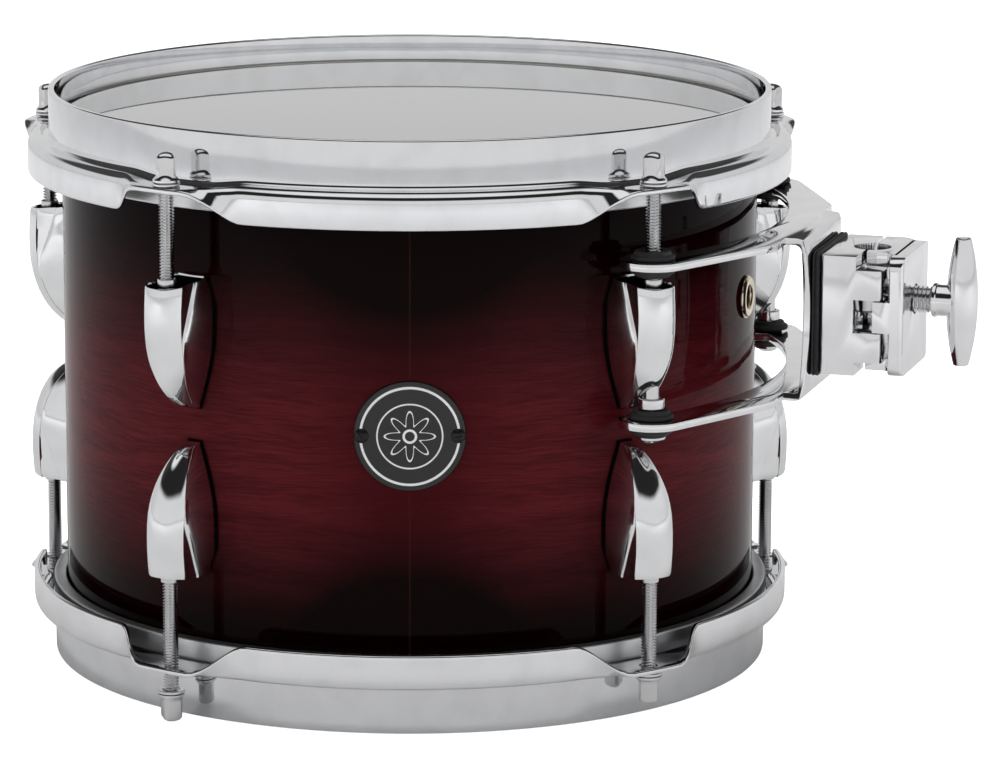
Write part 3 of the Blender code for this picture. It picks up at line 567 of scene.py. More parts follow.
class Form:
    """The mesh of one piece while it is being made."""

    def __init__(self) -> None:
        """Starts with no points."""
        self.mesh = bmesh.new()

    def loft(self, sections: Sequence[Sequence[Point]], joined: bool = False, caps: bool = True,
             slot_of: Callable[[int, int], int] | None = None) -> "Form":
        """Skins sections that have equal numbers of points.

        Args:
            sections: Closed rings of points.
            joined: True where the last ring joins the first.
            caps: True to close the ends.
            slot_of: Gives a face's material number from its ring and point numbers.

        Returns:
            This form.
        """
        rings = [[self.mesh.verts.new(point) for point in section] for section in sections]
        pairs = list(zip(rings, rings[1:])) + ([(rings[-1], rings[0])] if joined else [])
        for level, (ring, following) in enumerate(pairs):
            for index in range(len(ring)):
                after = (index + 1) % len(ring)
                face = self.mesh.faces.new((ring[index], ring[after], following[after], following[index]))
                if slot_of is not None:
                    face.material_index = slot_of(level, index)
        if caps and not joined:
            self.mesh.faces.new(rings[0])
            self.mesh.faces.new(rings[-1])
        return self

    def revolve(self, profile: Sequence[Pair], steps: int = 96, ring: bool = True,
                slot_of: Callable[[int, int], int] | None = None) -> "Form":
        """Turns a profile of radius and height about Z.

        Args:
            profile: The profile's points; without ring its ends lie on the axis.
            steps: The number of steps round the axis.
            ring: True where the profile is a closed outline clear of the axis.
            slot_of: Gives a face's material number from its step and point numbers.

        Returns:
            This form.
        """
        if ring:
            sections = []
            for step in range(steps):
                turn = 2 * math.pi * step / steps
                sections.append([(r * math.cos(turn), r * math.sin(turn), z) for r, z in profile])
            return self.loft(sections, joined=True, slot_of=slot_of)
        inner = [circle(radius, height, steps) for radius, height in profile[1:-1]]
        first = self.mesh.verts.new((0, 0, profile[0][1]))
        last = self.mesh.verts.new((0, 0, profile[-1][1]))
        rings = [[self.mesh.verts.new(point) for point in section] for section in inner]
        for ring_points, following in zip(rings, rings[1:]):
            for index in range(steps):
                after = (index + 1) % steps
                self.mesh.faces.new((ring_points[index], ring_points[after], following[after],
                                     following[index]))
        for index in range(steps):
            after = (index + 1) % steps
            self.mesh.faces.new((first, rings[0][after], rings[0][index]))
            self.mesh.faces.new((last, rings[-1][index], rings[-1][after]))
        return self

    def block(self, low: Point, high: Point) -> "Form":
        """Adds a box between two corners.

        Args:
            low: The corner with the least coordinates.
            high: The corner with the greatest.

        Returns:
            This form.
        """
        size = Vector(high) - Vector(low)
        place = Matrix.Translation((Vector(high) + Vector(low)) / 2) @ Matrix.Diagonal((*size, 1))
        bmesh.ops.create_cube(self.mesh, size=1, matrix=place)
        return self

    def cylinder(self, radius: float, low: float, high: float, steps: int = 48,
                 place: Matrix = Matrix.Identity(4)) -> "Form":
        """Adds a cylinder about Z, or about the Z of a place.

        Args:
            radius: Its radius.
            low: The height of its lower end.
            high: The height of its upper end.
            steps: The number of steps round it.
            place: The frame that it stands in.

        Returns:
            This form.
        """
        middle = place @ Matrix.Translation((0, 0, (low + high) / 2))
        bmesh.ops.create_cone(self.mesh, cap_ends=True, segments=steps, radius1=radius, radius2=radius,
                              depth=high - low, matrix=middle)
        return self

    def thread(self, radius: float, pitch: float, depth: float, low: float, high: float,
               steps: int = 18) -> "Form":
        """Adds a threaded rod about Z as a loft of rings whose radius follows the helix.

        Args:
            radius: The crest's radius.
            pitch: The travel of one turn.
            depth: The thread's depth.
            low: The start of the thread.
            high: The end of the thread.
            steps: The number of points round the axis.

        Returns:
            This form.
        """
        levels = max(2, math.ceil((high - low) / pitch * 8))
        sections = []
        for level in range(levels + 1):
            height = low + (high - low) * level / levels
            section = []
            for step in range(steps):
                turn = 2 * math.pi * step / steps
                phase = (height / pitch - step / steps) % 1.0
                cut = min(1.0, max(0.0, (abs(phase - 0.5) * 2 - 0.12) / 0.76))
                reach = radius - depth * cut
                section.append((reach * math.cos(turn), reach * math.sin(turn), height))
            sections.append(section)
        return self.loft(sections)

    def piece(self, name: str, finishes: Sequence[Palette], place: Matrix = Matrix.Identity(4),
              sharp: float = 40.0) -> bpy.types.Object:
        """Turns the form into an object.

        Args:
            name: The piece's name.
            finishes: Its finishes, in the order of its material numbers.
            place: The frame it was modelled in.
            sharp: The angle in degrees above which an edge stays sharp.

        Returns:
            The object, with its place in its mesh.
        """
        bmesh.ops.recalc_face_normals(self.mesh, faces=self.mesh.faces)
        self.mesh.transform(place)
        if place.determinant() < 0:
            bmesh.ops.reverse_faces(self.mesh, faces=self.mesh.faces)
        data = bpy.data.meshes.new(name)
        self.mesh.to_mesh(data)
        self.mesh.free()
        for finish in finishes:
            data.materials.append(finish.material())
        data.shade_smooth()
        data.set_sharp_from_angle(angle=math.radians(sharp))
        made = bpy.data.objects.new(name, data)
        bpy.context.scene.collection.objects.link(made)
        return made


def settle(piece: bpy.types.Object, sharp: float = 40.0) -> bpy.types.Object:
    """Applies a piece's modifiers.

    Args:
        piece: The piece.
        sharp: The angle in degrees above which an edge stays sharp.

    Returns:
        The piece, with no modifiers left.
    """
    graph = bpy.context.evaluated_depsgraph_get()
    data = bpy.data.meshes.new_from_object(piece.evaluated_get(graph))
    piece.modifiers.clear()
    piece.data = data
    data.shade_smooth()
    data.set_sharp_from_angle(angle=math.radians(sharp))
    return piece


def carve(piece: bpy.types.Object, tools: Iterable[Form], operation: str = "DIFFERENCE",
          place: Matrix = Matrix.Identity(4)) -> bpy.types.Object:
    """Cuts forms out of a piece, or joins them to it.

    Args:
        piece: The piece to change.
        tools: The forms.
        operation: DIFFERENCE, UNION or INTERSECT.
        place: The frame that the forms were modelled in.

    Returns:
        The piece.
    """
    helpers = []
    for number, tool in enumerate(tools):
        helper = tool.piece(f"{piece.name}_tool_{number}", [], place)
        change = piece.modifiers.new(helper.name, "BOOLEAN")
        change.operation = operation
        change.object = helper
        helpers.append(helper)
    settle(piece)
    for helper in helpers:
        bpy.data.objects.remove(helper)
    return piece


def round_edges(piece: bpy.types.Object, width: float, segments: int = 3,
                angle: float = 40.0) -> bpy.types.Object:
    """Bevels a piece's sharp edges.

    Args:
        piece: The piece.
        width: The bevel's width.
        segments: Its number of steps.
        angle: The angle in degrees above which an edge is bevelled.

    Returns:
        The piece.
    """
    change = piece.modifiers.new("edges", "BEVEL")
    change.width = width
    change.segments = segments
    change.limit_method = "ANGLE"
    change.angle_limit = math.radians(angle)
    change.harden_normals = False
    return settle(piece, 50.0)


def fit(piece: bpy.types.Object, body: str, slot: str, *replaced: str) -> bpy.types.Object:
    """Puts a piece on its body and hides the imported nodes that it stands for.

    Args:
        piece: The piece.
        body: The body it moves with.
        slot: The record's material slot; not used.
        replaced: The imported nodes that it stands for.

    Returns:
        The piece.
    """
    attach(piece, body)
    if replaced:
        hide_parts(*replaced)
    LOG.info("%s rides on %s with %d faces", piece.name, body, len(piece.data.polygons))
    return piece


@dataclass(frozen=True)
class Drum:
    """The sizes that the drum's pieces share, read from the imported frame."""

    middle: float
    shell_radius: float
    shell_half: float
    rim: float
    rod_circle: float
    ear_radius: float
    angles: tuple[int, ...] = (-108, -36, 36, 108, 180)
    mount_angle: float = 72.0
    wall: float = 0.006
    pitch: float = 0.0254 / 24

    @classmethod
    def from_frame(cls, frame: dict) -> "Drum":
        """Reads the sizes.


        Returns:
            The drum's sizes.
        """
        low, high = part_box("shell")
        _, hoop_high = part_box("batter_hoop")
        joint = next(joint for joint in frame["joints"] if joint["name"] == "rod_turn_top_1")
        middle = (low.z + high.z) / 2
        return cls(middle=middle, shell_radius=high.x, shell_half=(high.z - low.z) / 2,
                   rim=hoop_high.z - middle, rod_circle=math.hypot(*joint["pos_m"][:2]),
                   ear_radius=hoop_high.y)

    def facing(self, angle: float, bottom: bool = False) -> Matrix:
        """A frame at mid depth: X outward at an angle from the badge, Z towards the nearer rim.

        Args:
            angle: Degrees from the badge, positive to the right.
            bottom: True for the lower half, which is the upper one turned over about Y.

        Returns:
            The frame's matrix.
        """
        turn = Matrix.Rotation(math.radians((-angle if bottom else angle) - 90), 4, "Z")
        return self.half(bottom) @ turn

    def half(self, bottom: bool) -> Matrix:
        """The frame of one half at mid depth, the lower one being the upper one turned over about Y."""
        over = Matrix.Rotation(math.pi, 4, "Y") if bottom else Matrix.Identity(4)
        return Matrix.Translation((0, 0, self.middle)) @ over

    def rod_axis(self, angle: float, bottom: bool = False) -> Matrix:
        """The frame of the rod at an angle, at mid depth."""
        return self.facing(angle, bottom) @ Matrix.Translation((self.rod_circle, 0, 0))


# Turns a form that stands on Z to point outward along X.
LYING = Matrix.Rotation(math.radians(90), 4, "Y")


@dataclass
class Shell:
    """The wooden shell with its bearing edges, vent and badge."""

    drum: Drum
    edge_round: float = 0.0016
    edge_inset: float = 0.0022
    badge_lift: float = 0.0011
    vent_hole: float = 0.0052

    def build(self) -> None:
        """Makes the shell, vent, badge and screws."""
        self._wood()
        self._vent()
        self._badge()

    def _wood(self) -> None:
        """The shell, lacquered outside, sealed inside, and bare at the edges."""
        drum = self.drum
        outer, inner, half = drum.shell_radius, drum.shell_radius - drum.wall, drum.shell_half
        peak = outer - self.edge_inset
        drop = peak - inner
        corners = [Fillet((outer, half), self.edge_round), Fillet((outer, -half), self.edge_round),
                   Fillet((peak, -half), 0.0004), Fillet((inner, -half + drop), 0.0006),
                   Fillet((inner, half - drop), 0.0006), Fillet((peak, half), 0.0004)]
        profile = rounded(corners)

        def slot_of(_: int, index: int) -> int:
            """Tells the lacquer, 0, from the sealer, 1, and the bare edges, 2.

            Args:
                index: The profile point that starts the face.

            Returns:
                The material number.
            """
            first, second = profile[index], profile[(index + 1) % len(profile)]
            radius = (first[0] + second[0]) / 2
            if radius > outer - 0.0003:
                return 0
            return 1 if radius < inner + 0.0003 else 2

        shell = Form().revolve(profile, 240, slot_of=slot_of)
        place = Matrix.Translation((0, 0, drum.middle))
        shell = shell.piece("shell_wood", [Palette.LACQUER, Palette.SEALER, Palette.MAPLE], place)
        low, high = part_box("vent_eyelet")
        height = (low.z + high.z) / 2 - drum.middle
        spot = drum.facing(drum.mount_angle) @ Matrix.Translation((0, 0, height))
        hole = Form().cylinder(self.vent_hole, inner - 0.01, outer + 0.01, 40, LYING)
        carve(shell, [hole], place=spot)
        fit(shell, "root", "shell_lacquer", "shell")

    def _vent(self) -> None:
        """The plated eyelet, rolled over at both ends."""
        drum = self.drum
        low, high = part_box("vent_eyelet")
        height = (low.z + high.z) / 2 - drum.middle
        face = drum.shell_radius + 0.0004
        tube = self.vent_hole - 0.0003
        bore = tube - 0.0009
        inside = drum.shell_radius - drum.wall - 0.0009
        flange = (high.z - low.z) / 2 - 0.0001
        corners = [Fillet((bore, face + 0.0012), 0.0012, 5),
                   Fillet((flange - 0.0012, face + 0.0014), 0.0012, 5),
                   Fillet((flange, face + 0.0001), 0.0003, 2), Fillet((tube, face), 0.0002, 2),
                   Fillet((tube, inside), 0.0002, 2), Fillet((tube + 0.0017, inside), 0.0004, 3),
                   Fillet((tube + 0.0017, inside - 0.0009), 0.0004, 3),
                   Fillet((bore, inside - 0.0009), 0.0008, 4)]
        eyelet = Form().revolve(rounded(corners), 56)
        place = drum.facing(drum.mount_angle) @ Matrix.Translation((0, 0, height)) @ LYING
        fit(eyelet.piece("vent_eyelet_plated", [Palette.BRASS], place), "root", "vent_brass", "vent_eyelet")

    def _bent(self, reach: float, turn: float, lift: float, centre: float) -> Point:
        """A point of a disc that is bent to the shell.

        Args:
            reach: The distance from the disc's centre.
            turn: The angle round it in radians.
            lift: The height above the wood.
            centre: The height of the disc's centre.

        Returns:
            The point in the drum's frame.
        """
        angle = reach * math.cos(turn) / self.drum.shell_radius
        radius = self.drum.shell_radius + lift
        return radius * math.sin(angle), -radius * math.cos(angle), centre + reach * math.sin(turn)

    def _badge(self) -> None:
        """The enamelled disc with a soft edge, and its two cross-head screws."""
        low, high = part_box("badge")
        centre = (low.z + high.z) / 2
        radius = (high.z - low.z) / 2
        lift = self.badge_lift
        levels = [(0.0004, 0.00035), (radius - 0.0001, 0.00035), (radius, 0.0006),
                  (radius - 0.00025, lift - 0.0001), (radius - 0.0006, lift)]
        levels += [(radius * share, lift) for share in (0.9, 0.75, 0.6, 0.45, 0.3, 0.15, 0.02)]
        steps = 96
        sections = [[self._bent(reach, 2 * math.pi * step / steps, rise, centre) for step in range(steps)]
                    for reach, rise in levels]
        plate = Form().loft(sections).piece("badge_plate", [Palette.ENAMEL])
        fit(plate, "root", "badge_enamel", "badge")
        for label in ("left", "right"):
            node = f"badge_screw_{label}"
            low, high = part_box(node)
            across = (low.x + high.x) / 2
            angle = math.degrees(math.asin(across / self.drum.shell_radius))
            seat = Matrix.Translation((self.drum.shell_radius + lift, 0, 0.0009))
            place = self.drum.facing(angle) @ seat @ LYING
            profile = [(0, 0.00125), (0.0011, 0.0012), (0.0019, 0.0008), (0.00245, 0.0003),
                       (0.00255, 0.00012), (0.0011, 0.0001), (0.0011, -0.0095), (0.0, -0.0104)]
            screw = Form().revolve(profile, 40, ring=False)
            screw = screw.piece(f"{node}_head", [Palette.BLACK_STEEL], place)
            cross = [Form().block((-0.0013, -0.00022, 0.0006), (0.0013, 0.00022, 0.002)),
                     Form().block((-0.00022, -0.0013, 0.0006), (0.00022, 0.0013, 0.002))]
            spin = Matrix.Rotation(math.radians(28 if label == "left" else 8), 4, "Z")
            carve(screw, cross, place=place @ spin)
            fit(screw, "root", "badge_enamel", node)


@dataclass
class DrumHead:
    """One clear film with its collar and aluminium flesh hoop."""

    drum: Drum
    name: str
    bottom: bool
    film: float = 0.00025

    def build(self) -> None:
        """Makes the film and the flesh hoop."""
        low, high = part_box(f"{self.name}_head")
        flip = -1 if self.bottom else 1
        top = (flip * (low.z if self.bottom else high.z)) - flip * self.drum.middle
        radius = high.x
        depth = high.z - low.z
        corners = [Fillet((0.0, top)), Fillet((radius - 0.0034, top), 0.004, 3),
                   Fillet((radius, top - 0.0006), 0.0024, 8), Fillet((radius, top - depth))]
        outer = rounded(corners, closed=False)
        inner = [(max(0.0, reach - (self.film if index > 1 else 0.0)), height - self.film)
                 for index, (reach, height) in enumerate(outer[:-1])] + [(radius - self.film, top - depth)]
        place = self.drum.half(self.bottom)
        profile = outer + list(reversed(inner))
        film = Form().revolve(profile, 192, ring=False).piece(f"{self.name}_film", [Palette.FILM], place)
        fit(film, "root", "clear_film", f"{self.name}_head")
        low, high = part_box(f"{self.name}_flesh_hoop")
        outer_edge = high.x
        inner_edge = radius - 0.0002
        upper = (flip * (low.z if self.bottom else high.z)) - flip * self.drum.middle
        lower = upper - (high.z - low.z)
        square = rounded([Fillet((inner_edge, upper), 0.0008), Fillet((outer_edge, upper), 0.0012),
                          Fillet((outer_edge, lower), 0.0008), Fillet((inner_edge, lower), 0.0008)])
        ring = Form().revolve(square, 160).piece(f"{self.name}_flesh_ring", [Palette.ALUMINIUM], place)
        fit(ring, "root", "flesh_hoop", f"{self.name}_flesh_hoop")


@dataclass
class Hoop:
    """One double-flanged hoop, pressed from sheet, with five ears."""

    drum: Drum
    name: str
    bottom: bool
    wall_radius: float = 0.1306
    skirt_radius: float = 0.1383
    sheet: float = 0.0023
    rim_to_flange: float = 0.017
    skirt_depth: float = 0.0128
    ear_drop: float = 0.0013
    hole: float = 0.0033
    ear_inset: float = 0.00022
    ear_end: float = 11.5
    ear_blend: float = 7.5

    def _section(self, spread: float) -> list[Pair]:
        """The sheet's section, from a hanging skirt at spread 0 to a flat ear at 1.

        Args:
            spread: How far the skirt is opened out.

        Returns:
            The section's outline, as (radius, height).
        """
        wall, inner = self.wall_radius, self.wall_radius - self.sheet
        skirt, rim = self.skirt_radius, self.drum.rim
        top = rim - self.rim_to_flange
        under = top - self.sheet
        ear_top = top - self.ear_drop
        ear_under = ear_top - self.sheet * 0.8
        reach = self.drum.ear_radius - self.ear_inset
        hanging = [(wall, rim, 0.0008), (wall, top, 0.0022), (skirt, top, 0.0042),
                   (skirt, top - self.skirt_depth, 0.0009),
                   (skirt - self.sheet, top - self.skirt_depth, 0.0009),
                   (skirt - self.sheet, under, 0.0022), (inner, under, 0.0045), (inner, rim, 0.0008)]
        flat = [(wall, rim, 0.0008), (wall, ear_top, 0.0018), (skirt + 0.003, ear_top, 0.002),
                (reach, ear_top, 0.0007), (reach, ear_under, 0.0007), (skirt + 0.003, ear_under, 0.002),
                (inner, ear_under, 0.004), (inner, rim, 0.0008)]
        steps = (3, 6, 8, 3, 3, 5, 6, 3)
        corners = []
        for first, second, count in zip(hanging, flat, steps):
            place = tuple(a + (b - a) * spread for a, b in zip(first, second))
            corners.append(Fillet(place[:2], place[2], count))
        return rounded(corners)

    def _spread(self, angle: float) -> float:
        """How flat the ear is at an angle in degrees."""
        away = min(abs((angle - rod + 180) % 360 - 180) for rod in self.drum.angles)
        return smooth((self.ear_end - away) / self.ear_blend)

    def build(self) -> None:
        """Makes the hoop and its rod holes."""
        stations = 360
        sections = []
        for station in range(stations):
            angle = 360 * station / stations
            turn = math.radians(angle - 90)
            sections.append([(radius * math.cos(turn), radius * math.sin(turn), height)
                             for radius, height in self._section(self._spread(angle))])
        place = self.drum.half(self.bottom)
        hoop = Form().loft(sections, joined=True)
        hoop = hoop.piece(f"{self.name}_hoop_steel", [Palette.HOOP], place, 60.0)
        holes = Form()
        for angle in self.drum.angles:
            turn = math.radians(angle - 90)
            shift = Matrix.Translation((self.drum.rod_circle * math.cos(turn),
                                        self.drum.rod_circle * math.sin(turn), 0))
            holes.cylinder(self.hole, self.drum.rim - 0.03, self.drum.rim - 0.01, 32, shift)
        carve(hoop, [holes], place=place)
        fit(hoop, "root", "hoop_chrome", f"{self.name}_hoop")


@dataclass
class Lug:
    """One cast lug, its gasket, its swivel nut and the screws that hold it from inside."""

    drum: Drum
    angle: int
    bottom: bool
    number: int
    tip: float = 0.006
    widest: float = 0.039
    mouth: float = 0.0506
    bulge: float = 0.0219
    column: float = 0.0080
    base: float = 0.0088
    column_growth: float = 0.026
    base_growth: float = 0.030
    ridge_start: float = 0.0275
    ridge_reach: float = 0.0078
    fullness: float = 2.2
    mouth_tilt: float = 0.0022
    boss: float = 0.0056
    boss_height: float = 0.012
    gasket: float = 0.0009
    screw_heights: Pair = (0.016, 0.040)

    def _grown(self, height: float, over: float) -> float:
        """How far a width has grown from its quarter at the tip, over a height."""
        share = min(1.0, (height - self.tip) / over + 0.03)
        return 0.25 + 0.75 * math.sin(share * math.pi / 2)

    def _front(self, height: float) -> float:
        """The radius of the column's front at a height.

        Args:
            height: The level, measured from mid depth towards the rim.

        Returns:
            The radius from the drum's axis.
        """
        below = max(0.0, (self.widest - height) / (self.widest - self.tip))
        swell = max(0.0, 1 - min(1.0, below) ** self.fullness) ** (1 / self.fullness)
        past = max(0.0, height - self.widest) / (self.mouth - self.widest)
        return self.drum.shell_radius + self.gasket + max(self.bulge * swell - 0.0007 * past ** 2, 0.0007)

    def _half_outline(self, height: float) -> list[Pair]:
        """Half of one level from above, as (radius, distance to one side), front to back.

        Args:
            height: The level, measured from mid depth towards the rim.

        Returns:
            The column's arc, its flat side up to the ridge, and the flank down to the foot.
        """
        back, front = self.drum.shell_radius + self.gasket, self._front(height)
        column = self.column * self._grown(height, self.column_growth)
        lift = min(0.0052, (front - back) * 0.42)
        corner = front - lift
        opened = max(0.0, (height - self.ridge_start) / (self.mouth - self.ridge_start))
        ridge = corner - 0.0003 - (corner - 0.0003 - back - self.ridge_reach) * opened
        hollow = 0.0005 * min(1.0, opened * 5)
        flank = self.base * self._grown(height, self.base_growth)
        flank -= 0.0027 * smooth((height - 0.042) / 0.0086)
        points = [(front - lift * share ** 2.5, column * share)
                  for share in (0.0, 0.12, 0.26, 0.42, 0.58, 0.74, 0.88, 1.0)]
        points += [(corner - (corner - ridge) * 0.12, column - hollow),
                   (corner - (corner - ridge) * 0.5, column - hollow),
                   (ridge + 0.0001 + hollow * 1.6, column - hollow),
                   (ridge + 0.0001 + hollow * 0.8, column + 0.0001), (ridge, column + hollow * 0.5)]
        start, end = Vector(points[-1]), Vector((back, flank))
        knee = Vector((start.x - (start.x - end.x) * 0.55, max(start.y, end.y) + 0.0007))
        steps = 8
        for step in range(1, steps + 1):
            points.append(tuple(curve(start, knee, end, step / steps)))
        return points + [(back, flank * 0.6), (back, flank * 0.2)]

    @property
    def carried(self) -> bool:
        """True for the two lugs that the bracket hangs on."""
        return not self.bottom and abs(self.angle - self.drum.mount_angle) == 36

    def _level(self, height: float, inset: float = 0.0) -> list[Point]:
        """The whole outline at a height, or one drawn in from it for the cavity.

        Args:
            height: The level, measured from mid depth towards the rim.
            inset: How far the outline is drawn in towards the rod.

        Returns:
            The outline's points, tilted towards the mouth.
        """
        half = self._half_outline(height)
        front, back = half[0][0], half[-1][0]
        past = max(0.0, height - self.widest) / (self.mouth - self.widest)
        core = Vector((self.drum.rod_circle - 0.004, 0.0))
        ring = half + [(x, -y) for x, y in reversed(half[1:])]
        points = []
        for x, y in ring:
            spot = Vector((x, y))
            if inset:
                inward = core - spot
                spot += inward.normalized() * min(inset, inward.length * 0.8)
            near = math.hypot(spot.x - self.drum.rod_circle, spot.y) < self.boss
            level = height + self.mouth_tilt * past * (front - spot.x) / (front - back)
            if near and self.carried:
                level = max(level, self.boss_height)
            points.append((spot.x, spot.y, level))
        return points

    def build(self) -> None:
        """Makes the lug, gasket, nut and inside screws."""
        half = "bottom" if self.bottom else "top"
        label = f"{half}_{self.number}"
        place = self.drum.facing(self.angle, self.bottom)
        rise = [self.tip + (self.widest - self.tip) * share
                for share in (0.0, 0.008, 0.025, 0.05, 0.085, 0.13, 0.18, 0.24, 0.30,
                              0.37, 0.44, 0.52, 0.60, 0.70, 0.80, 0.90, 1.0)]
        heights = rise + [self.widest + (self.mouth - self.widest) * share
                          for share in (0.25, 0.5, 0.75, 0.94)]
        sections = [self._level(height) for height in heights]
        sections.append(self._level(self.mouth, 0.0002))
        outside = len(sections)
        for inset, sunk in ((0.0010, 0.0), (0.0013, 0.0006), (0.0030, 0.016)):
            sections.append([(x, y, z - sunk) for x, y, z in self._level(self.mouth, inset)])

        def slot_of(level: int, _: int) -> int:
            """1 inside the cavity, whose near-black finish is painted shade."""
            return 1 if level > outside else 0

        lug = Form().loft(sections, slot_of=slot_of)
        # The cavity's faces, slot 1, take the near-black finish as painted shade.
        lug = lug.piece(f"lug_{label}_casting", [Palette.LUG, Palette.GASKET_AND_CAVITY_SHADE], place, 32.0)
        fit(lug, "root", "lug_chrome", f"lug_{label}")
        self._gasket(label, place)
        self._nut(label, place)
        self._screws(label, place)

    def _gasket(self, label: str, place: Matrix) -> None:
        """A thin dark gasket that follows the casting's foot.

        Args:
            label: The lug's half and number.
            place: The lug's frame.
        """
        sections = []
        inner, outer = self.drum.shell_radius + 0.0001, self.drum.shell_radius + self.gasket
        count = 24
        for lift in (0, 1):
            ring = []
            for side in (1, -1):
                for step in range(count + 1):
                    share = step / count if side > 0 else 1 - step / count
                    height = self.tip - 0.0004 + (self.mouth - self.tip + 0.0006) * share
                    across = self._half_outline(min(max(height, self.tip), self.mouth))[-3][1] + 0.0005
                    radius = inner if lift == 0 else outer
                    depth = math.sqrt(radius ** 2 - across ** 2)
                    ring.append((depth, across * side, height))
            sections.append(ring)
        gasket = Form().loft(sections).piece(f"lug_{label}_gasket", [Palette.GASKET_AND_CAVITY_SHADE], place)
        fit(gasket, "root", "black_rubber")

    def _nut(self, label: str, place: Matrix) -> None:
        """The swivel nut: a round barrel whose chamfered collar stands out of the lug.

        Args:
            label: The lug's half and number.
            place: The lug's frame.
        """
        axis = place @ Matrix.Translation((self.drum.rod_circle, 0, 0))
        collar, barrel, bore = 0.0033, 0.0029, self.drum.pitch * 2.7
        top = self.mouth + 0.0027
        corners = [Fillet((bore, top), 0.0002, 2), Fillet((collar, top), 0.0006, 3),
                   Fillet((collar, top - 0.0026), 0.0004, 3), Fillet((barrel, top - 0.0030), 0.0002, 2),
                   Fillet((barrel, top - 0.015), 0.0003, 2), Fillet((bore, top - 0.015), 0.0002, 2)]
        nut = Form().revolve(rounded(corners), 36).piece(f"swivel_nut_{label}", [Palette.STEEL], axis)
        fit(nut, "root", "plated_steel")

    def _screws(self, label: str, place: Matrix) -> None:
        """Two pan-head screws with washers, seen inside the shell through the clear heads.

        Args:
            label: The lug's half and number.
            place: The lug's frame.
        """
        inside = self.drum.shell_radius - self.drum.wall
        for number, height in enumerate(self.screw_heights, start=1):
            spot = place @ Matrix.Translation((inside, 0, height)) @ LYING
            profile = [(0, -0.0042), (0.0016, -0.0041), (0.0032, -0.0032), (0.0038, -0.0016),
                       (0.0038, -0.0012), (0.0062, -0.0011), (0.0063, -0.0002), (0.002, -0.0002),
                       (0.002, 0.004), (0, 0.004)]
            screw = Form().revolve(profile, 28, ring=False)
            screw = screw.piece(f"lug_screw_{label}_{number}", [Palette.STEEL], spot)
            fit(screw, "root", "plated_steel")


@dataclass
class TensionRod:
    """One threaded rod with a flanged square head, and the washer under it."""

    drum: Drum
    number: int
    bottom: bool
    radius: float = 0.00275
    square: float = 0.00635
    head_turn: float = 34.0
    shown: float = 0.044

    def _square(self, across: float, height: float, corner: float, points: int = 40) -> list[Point]:
        """A square section with rounded corners.

        Args:
            across: The distance across its flats.
            height: Its height.
            corner: How round it is, from a square at 0 to a circle at 1.
            points: The number of points round it.

        Returns:
            The section's points.
        """
        half = across / 2
        ring = []
        for step in range(points):
            turn = 2 * math.pi * step / points
            flat = half / max(abs(math.cos(turn)), abs(math.sin(turn)))
            reach = min(flat, half * 1.26) * (1 - corner) + half * corner
            ring.append((reach * math.cos(turn), reach * math.sin(turn), height))
        return ring

    def build(self) -> None:
        """Makes the rod and the washer."""
        half = "bottom" if self.bottom else "top"
        label = f"{half}_{self.number}"
        angle = self.drum.angles[self.number - 1]
        place = self.drum.rod_axis(angle, self.bottom)
        low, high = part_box(f"tension_rod_{label}")
        end = (self.drum.middle - low.z) if self.bottom else (high.z - self.drum.middle)
        w_low, w_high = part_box(f"rod_washer_{label}")
        seat = (self.drum.middle - w_low.z) if self.bottom else (w_high.z - self.drum.middle)
        seat += 0.0002
        head = seat + 0.0019
        flange = 0.0046
        sections = [self._square(2 * self.radius * 0.9, seat - 0.0005, 1.0),
                    self._square(2 * self.radius, seat, 1.0),
                    self._square(2 * flange, seat + 0.0001, 1.0),
                    self._square(2 * flange, seat + 0.0008, 1.0),
                    self._square(2 * flange * 0.93, seat + 0.0012, 1.0),
                    self._square(self.square * 1.12, head, 0.55),
                    self._square(self.square, head + 0.0009, 0.0)]
        top = end - 0.0021
        sections += [self._square(self.square, top, 0.0),
                     self._square(self.square * 0.97, top + 0.0006, 0.12),
                     self._square(self.square * 0.86, top + 0.0013, 0.4),
                     self._square(self.square * 0.62, top + 0.0018, 0.8),
                     self._square(self.square * 0.30, end, 1.0)]
        rod = Form().loft(sections)
        rod.thread(self.radius, self.drum.pitch, 0.00080, seat - self.shown, seat - 0.0004)
        spin = Matrix.Rotation(math.radians(self.head_turn), 4, "Z")
        rod = rod.piece(f"tension_rod_{label}_steel", [Palette.ROD], place @ spin, 38.0)
        fit(rod, f"rod_{label}", "rod_chrome", f"tension_rod_{label}")
        bottom = seat - 0.0002 - (w_high.z - w_low.z)
        outer = (w_high.x - w_low.x) / 2
        ring = rounded([Fillet((0.0031, bottom), 0.0001, 2), Fillet((outer, bottom), 0.0003, 3),
                        Fillet((outer, seat - 0.0002), 0.0004, 3),
                        Fillet((0.0031, seat - 0.0002), 0.0002, 2)])
        washer = Form().revolve(ring, 40).piece(f"rod_washer_{label}_steel", [Palette.ROD], place)
        fit(washer, f"washer_{label}", "rod_chrome", f"rod_washer_{label}")


